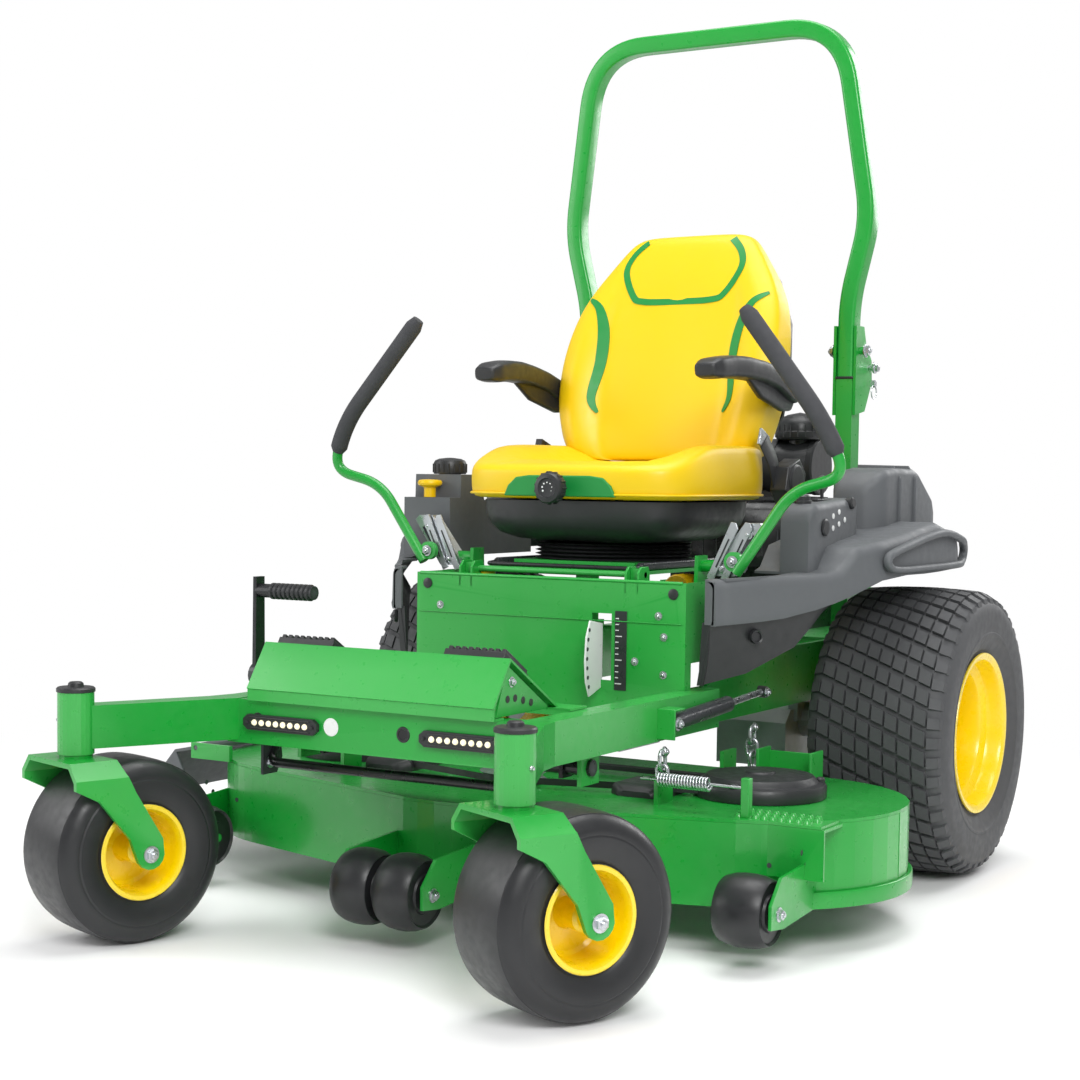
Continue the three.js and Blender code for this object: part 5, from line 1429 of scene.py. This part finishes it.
# %% Make the dampers and the belt
# the damper slung under each rail
for side, sign in SIDES:
    bm = bmesh.new()
    sweep(bm, [(sign * 357, -800, 378), (sign * 357, -560, 391)], ring(16, 24), up=(1, 0, 0))
    sweep(bm, [(sign * 357, -562, 391), (sign * 357, -400, 400)], ring(7, 16), up=(1, 0, 0), material=1)
    turn(bm, (sign * 356, -802, 378), (1, 0, 0), [(0, -10), (16, -10), (16, 10), (0, 10)], 24)
    turn(bm, (sign * 357, -396, 400), (1, 0, 0), [(0, -8), (12, -8), (12, 8), (0, 8)], 24)
    finish(f"{side}_lever_damper", bm, "chassis", [BLACK, ZINC], smooth=40)
    bm = bmesh.new()
    block(bm, sign * 356 - 20, sign * 356 + 20, -820, -816, 350, 406)
    block(bm, *sorted((sign * 340.4, sign * 376)), -818, -778, 402, 406)
    finish(f"{side}_damper_bracket", bm, "chassis", GREEN, bevel=1.2)
    bm = bmesh.new()
    bolt(bm, (sign * 372, -800, 378), (sign, 0, 0), 11)
    bolt(bm, (sign * 366, -396, 400), (sign, 0, 0), 9)
    finish(f"{side}_damper_bolts", bm, "chassis", ZINC)

# V-belt round the three pulleys
bm = bmesh.new()
belt = []
lx, ly = SPINDLES["left"]
cx, cy = SPINDLES["center"]
rx, ry = SPINDLES["right"]
for mx, my, start, stop in ((lx, ly, TANGENT, 90), (rx, ry, 90, 254.2), (cx, cy, 254.2, 285.8)):
    for i in range(25):
        angle = math.radians(start + (stop - start) * i / 24)
        belt.append((mx + 60 * math.cos(angle), my + 60 * math.sin(angle), 249))
sweep(bm, belt, [(-4, -4), (5, -6.5), (5, 6.5), (-4, 4)], up=(0, 0, 1), closed=True)
finish("deck_belt", bm, "deck", PLASTIC, smooth=40)
print("dampers and belt")

# %% [markdown]
# ## Engine
# An air-cooled V-twin has a blower housing with a round screen, a canister air filter and a muffler.
# Most of it is hidden, so its outline and the ribs that catch the light matter more than its inner parts.

# %% Finish the engine
ENGINE_Y = 330  # the crankshaft
soften("engine", BLACK, 2.0, 2)
soften("air_cleaner", PLASTIC, 4, 3)
bm = bmesh.new()
for i in range(7):
    radius = 50 + i * 20
    hoop = [(radius, -3), (radius + 5, -3), (radius + 5, 3.5), (radius, 3.5), (radius, -3)]
    turn(bm, (0, ENGINE_Y, 778), (0, 0, 1), hoop, 64)
for (x0, y0), (x1, y1) in zip(ring(40, 8), ring(178, 8)):
    sweep(bm, [(x0, ENGINE_Y + y0, 780), (x1, ENGINE_Y + y1, 776)], rounded(4, 5, 1, 2))
finish("blower_screen", bm, "chassis", PLASTIC)
bm = bmesh.new()
shroud = [
    (188, 622), (196, 622), (203, 636), (204, 660), (204, 716), (200, 728), (156, 768), (150, 772),
    (96, 779), (90, 779),
]
turn(bm, (0, ENGINE_Y, 0), (0, 0, 1), shroud, 96)
for x, v in ring(204, 36):
    sweep(bm, [(x, ENGINE_Y + v, 646), (x, ENGINE_Y + v, 706)], ring(1.8, 6), up=(1, 0, 0))
finish("blower_shroud", bm, "chassis", BLACK, smooth=30)
bm = bmesh.new()
canister = [
    (0, -176), (56, -176), (63, -170), (64, -160), (64, -30), (61.8, -27), (61.8, -21), (64, -18),
    (64, 150), (60, 158), (0, 158),
]
turn(bm, (0, ENGINE_Y, 852), (1, 0, 0), canister, 72)
finish("filter_canister", bm, "chassis", PLASTIC, smooth=30)
bm = bmesh.new()
for x in (-172, 152):
    turn(bm, (x, ENGINE_Y, 852), (1, 0, 0), [(0, 0), (60, 0), (66, 3), (66, 16), (62, 20), (0, 20)], 48)
for x in (-60, 60):
    turn(bm, (x, ENGINE_Y, 852), (1, 0, 0), [(63, -12), (66.5, -12), (66.5, 12), (63, 12), (63, -12)], 72)
finish("air_cleaner_bands", bm, "chassis", PLASTIC)
bm = bmesh.new()
precleaner = [
    (0, 914), (40, 914), (54, 917), (58, 924), (58, 934), (56, 936), (56, 952), (50, 962), (30, 974),
    (0, 980),
]
turn(bm, (119, 320, 0), (0, 0, 1), precleaner, 48)
for u, v in ring(57, 20):
    sweep(bm, [(119 + u, 320 + v, 921), (119 + u, 320 + v, 950)], ring(1.6, 6), up=(1, 0, 0))
finish("precleaner_cap", bm, "chassis", PLASTIC)
bm = bmesh.new()
turn(bm, (0, 520, 560), (1, 0, 0), [(0, -186), (50, -186), (58, -180), (58, 180), (50, 186), (0, 186)], 56)
for x in (-120, 0, 120):
    turn(bm, (x, 520, 560), (1, 0, 0), [(57, -5), (60, -5), (60, 5), (57, 5), (57, -5)], 56)
sweep(bm, bent([(150, 545, 560), (150, 572, 545, 12), (150, 574, 500)], 8), ring(16, 20), up=(1, 0, 0))
finish("muffler", bm, "chassis", STEEL)
bm = bmesh.new()
turn(bm, (-100, 200, 560), (0, -1, 0), [(0, 0), (36, 0), (38, 4), (38, 70), (34, 78), (0, 80)], 40)
finish("oil_filter", bm, "chassis", YELLOW_PLASTIC)
bm = bmesh.new()
for x in (-300, -100, 100, 300):
    bolt(bm, (x, 589, 520 if abs(x) > 200 else 440), (0, 1, 0), 10)
finish("rear_bolts", bm, "chassis", ZINC)
print("engine")

# %% [markdown]
# ## Floor, light and camera
# A plain pale floor and large soft lamps. The camera stands in front of the machine, on the operator's left.

# %% Set the stage
bm = bmesh.new()
reach = 9000
block(bm, -reach, reach, -reach, reach, -30, -0.5)
mesh = bpy.data.meshes.new("floor")
bm.to_mesh(mesh)
bm.free()
floor = bpy.data.objects.new("floor", mesh)
scene.collection.objects.link(floor)
# matt white paper that brightens into plain light away from the machine
paper = surface("pale_floor", "fafafa", 0.75, grain_mm=12, depth_mm=0.02, drift=0.01)
tree = paper.node_tree
shader = [n for n in tree.nodes if n.type == "BSDF_PRINCIPLED"][0]
output = [n for n in tree.nodes if n.type == "OUTPUT_MATERIAL"][0]
place = add(tree, "ShaderNodeTexCoord").outputs["Object"]
away = add(tree, "ShaderNodeVectorMath", {0: place}, operation="LENGTH").outputs["Value"]
share = add(
    tree, "ShaderNodeMapRange", {"Value": away, "From Min": 0.9, "From Max": 2.6},
    interpolation_type="SMOOTHSTEP",
)
light = add(tree, "ShaderNodeEmission", {"Color": (1, 1, 1, 1), "Strength": 1.0}).outputs["Emission"]
blend = add(tree, "ShaderNodeMixShader", {0: share.outputs["Result"], 1: shader.outputs["BSDF"], 2: light})
tree.links.new(blend.outputs["Shader"], output.inputs["Surface"])
mesh.materials.append(paper)


def lamp(name, place, target, size, power):
    """A round soft lamp of a given size and power, aimed at a place."""
    light = bpy.data.lights.new(name, "AREA")
    light.shape = "DISK"
    light.size = size
    light.energy = power
    holder = bpy.data.objects.new(name, light)
    scene.collection.objects.link(holder)
    away = (Vector(place) - Vector(target)).normalized()
    holder.matrix_world = Matrix.Translation(place) @ away.to_track_quat("Z", "Y").to_matrix().to_4x4()


target = at(0, -500, 700)
lamp("key", at(3200, -4200, 3600), target, 2.6, 190)
lamp("fill", at(-3600, -3000, 2200), target, 3.0, 70)
lamp("top", at(200, -200, 4600), target, 3.4, 120)
lamp("rear", at(1500, 4200, 2800), target, 2.6, 90)
world = bpy.data.worlds.new("studio")
world.use_nodes = True
background = [n for n in world.node_tree.nodes if n.type == "BACKGROUND"][0]
background.inputs["Color"].default_value = (1, 1, 1, 1)
seen = add(world.node_tree, "ShaderNodeLightPath").outputs["Is Camera Ray"]
strength = add(world.node_tree, "ShaderNodeMapRange", {"Value": seen, "To Min": 0.42, "To Max": 1.0})
world.node_tree.links.new(strength.outputs["Result"], background.inputs["Strength"])
scene.world = world
scene.view_settings.view_transform = "Standard"

camera_data = bpy.data.cameras.new("camera")
camera_data.sensor_width = 36
camera_data.sensor_fit = "HORIZONTAL"
camera_data.lens = 65.290667
camera_data.shift_x = 0.0098148
camera_data.shift_y = 0.0539815
camera_data.clip_end = 60
camera = bpy.data.objects.new("camera", camera_data)
scene.collection.objects.link(camera)
# the camera's own axes, and where it stands
right = Vector((0.856877, 0.515372, 0.012411))
above = Vector((-0.043482, 0.048264, 0.997888))
forward = Vector((-0.513684, 0.855606, -0.063766))
turned = Matrix((right, above, -forward)).transposed().to_4x4()
camera.matrix_world = Matrix.Translation(at(1959.3, -3973.5, 829.7)) @ turned
scene.camera = camera
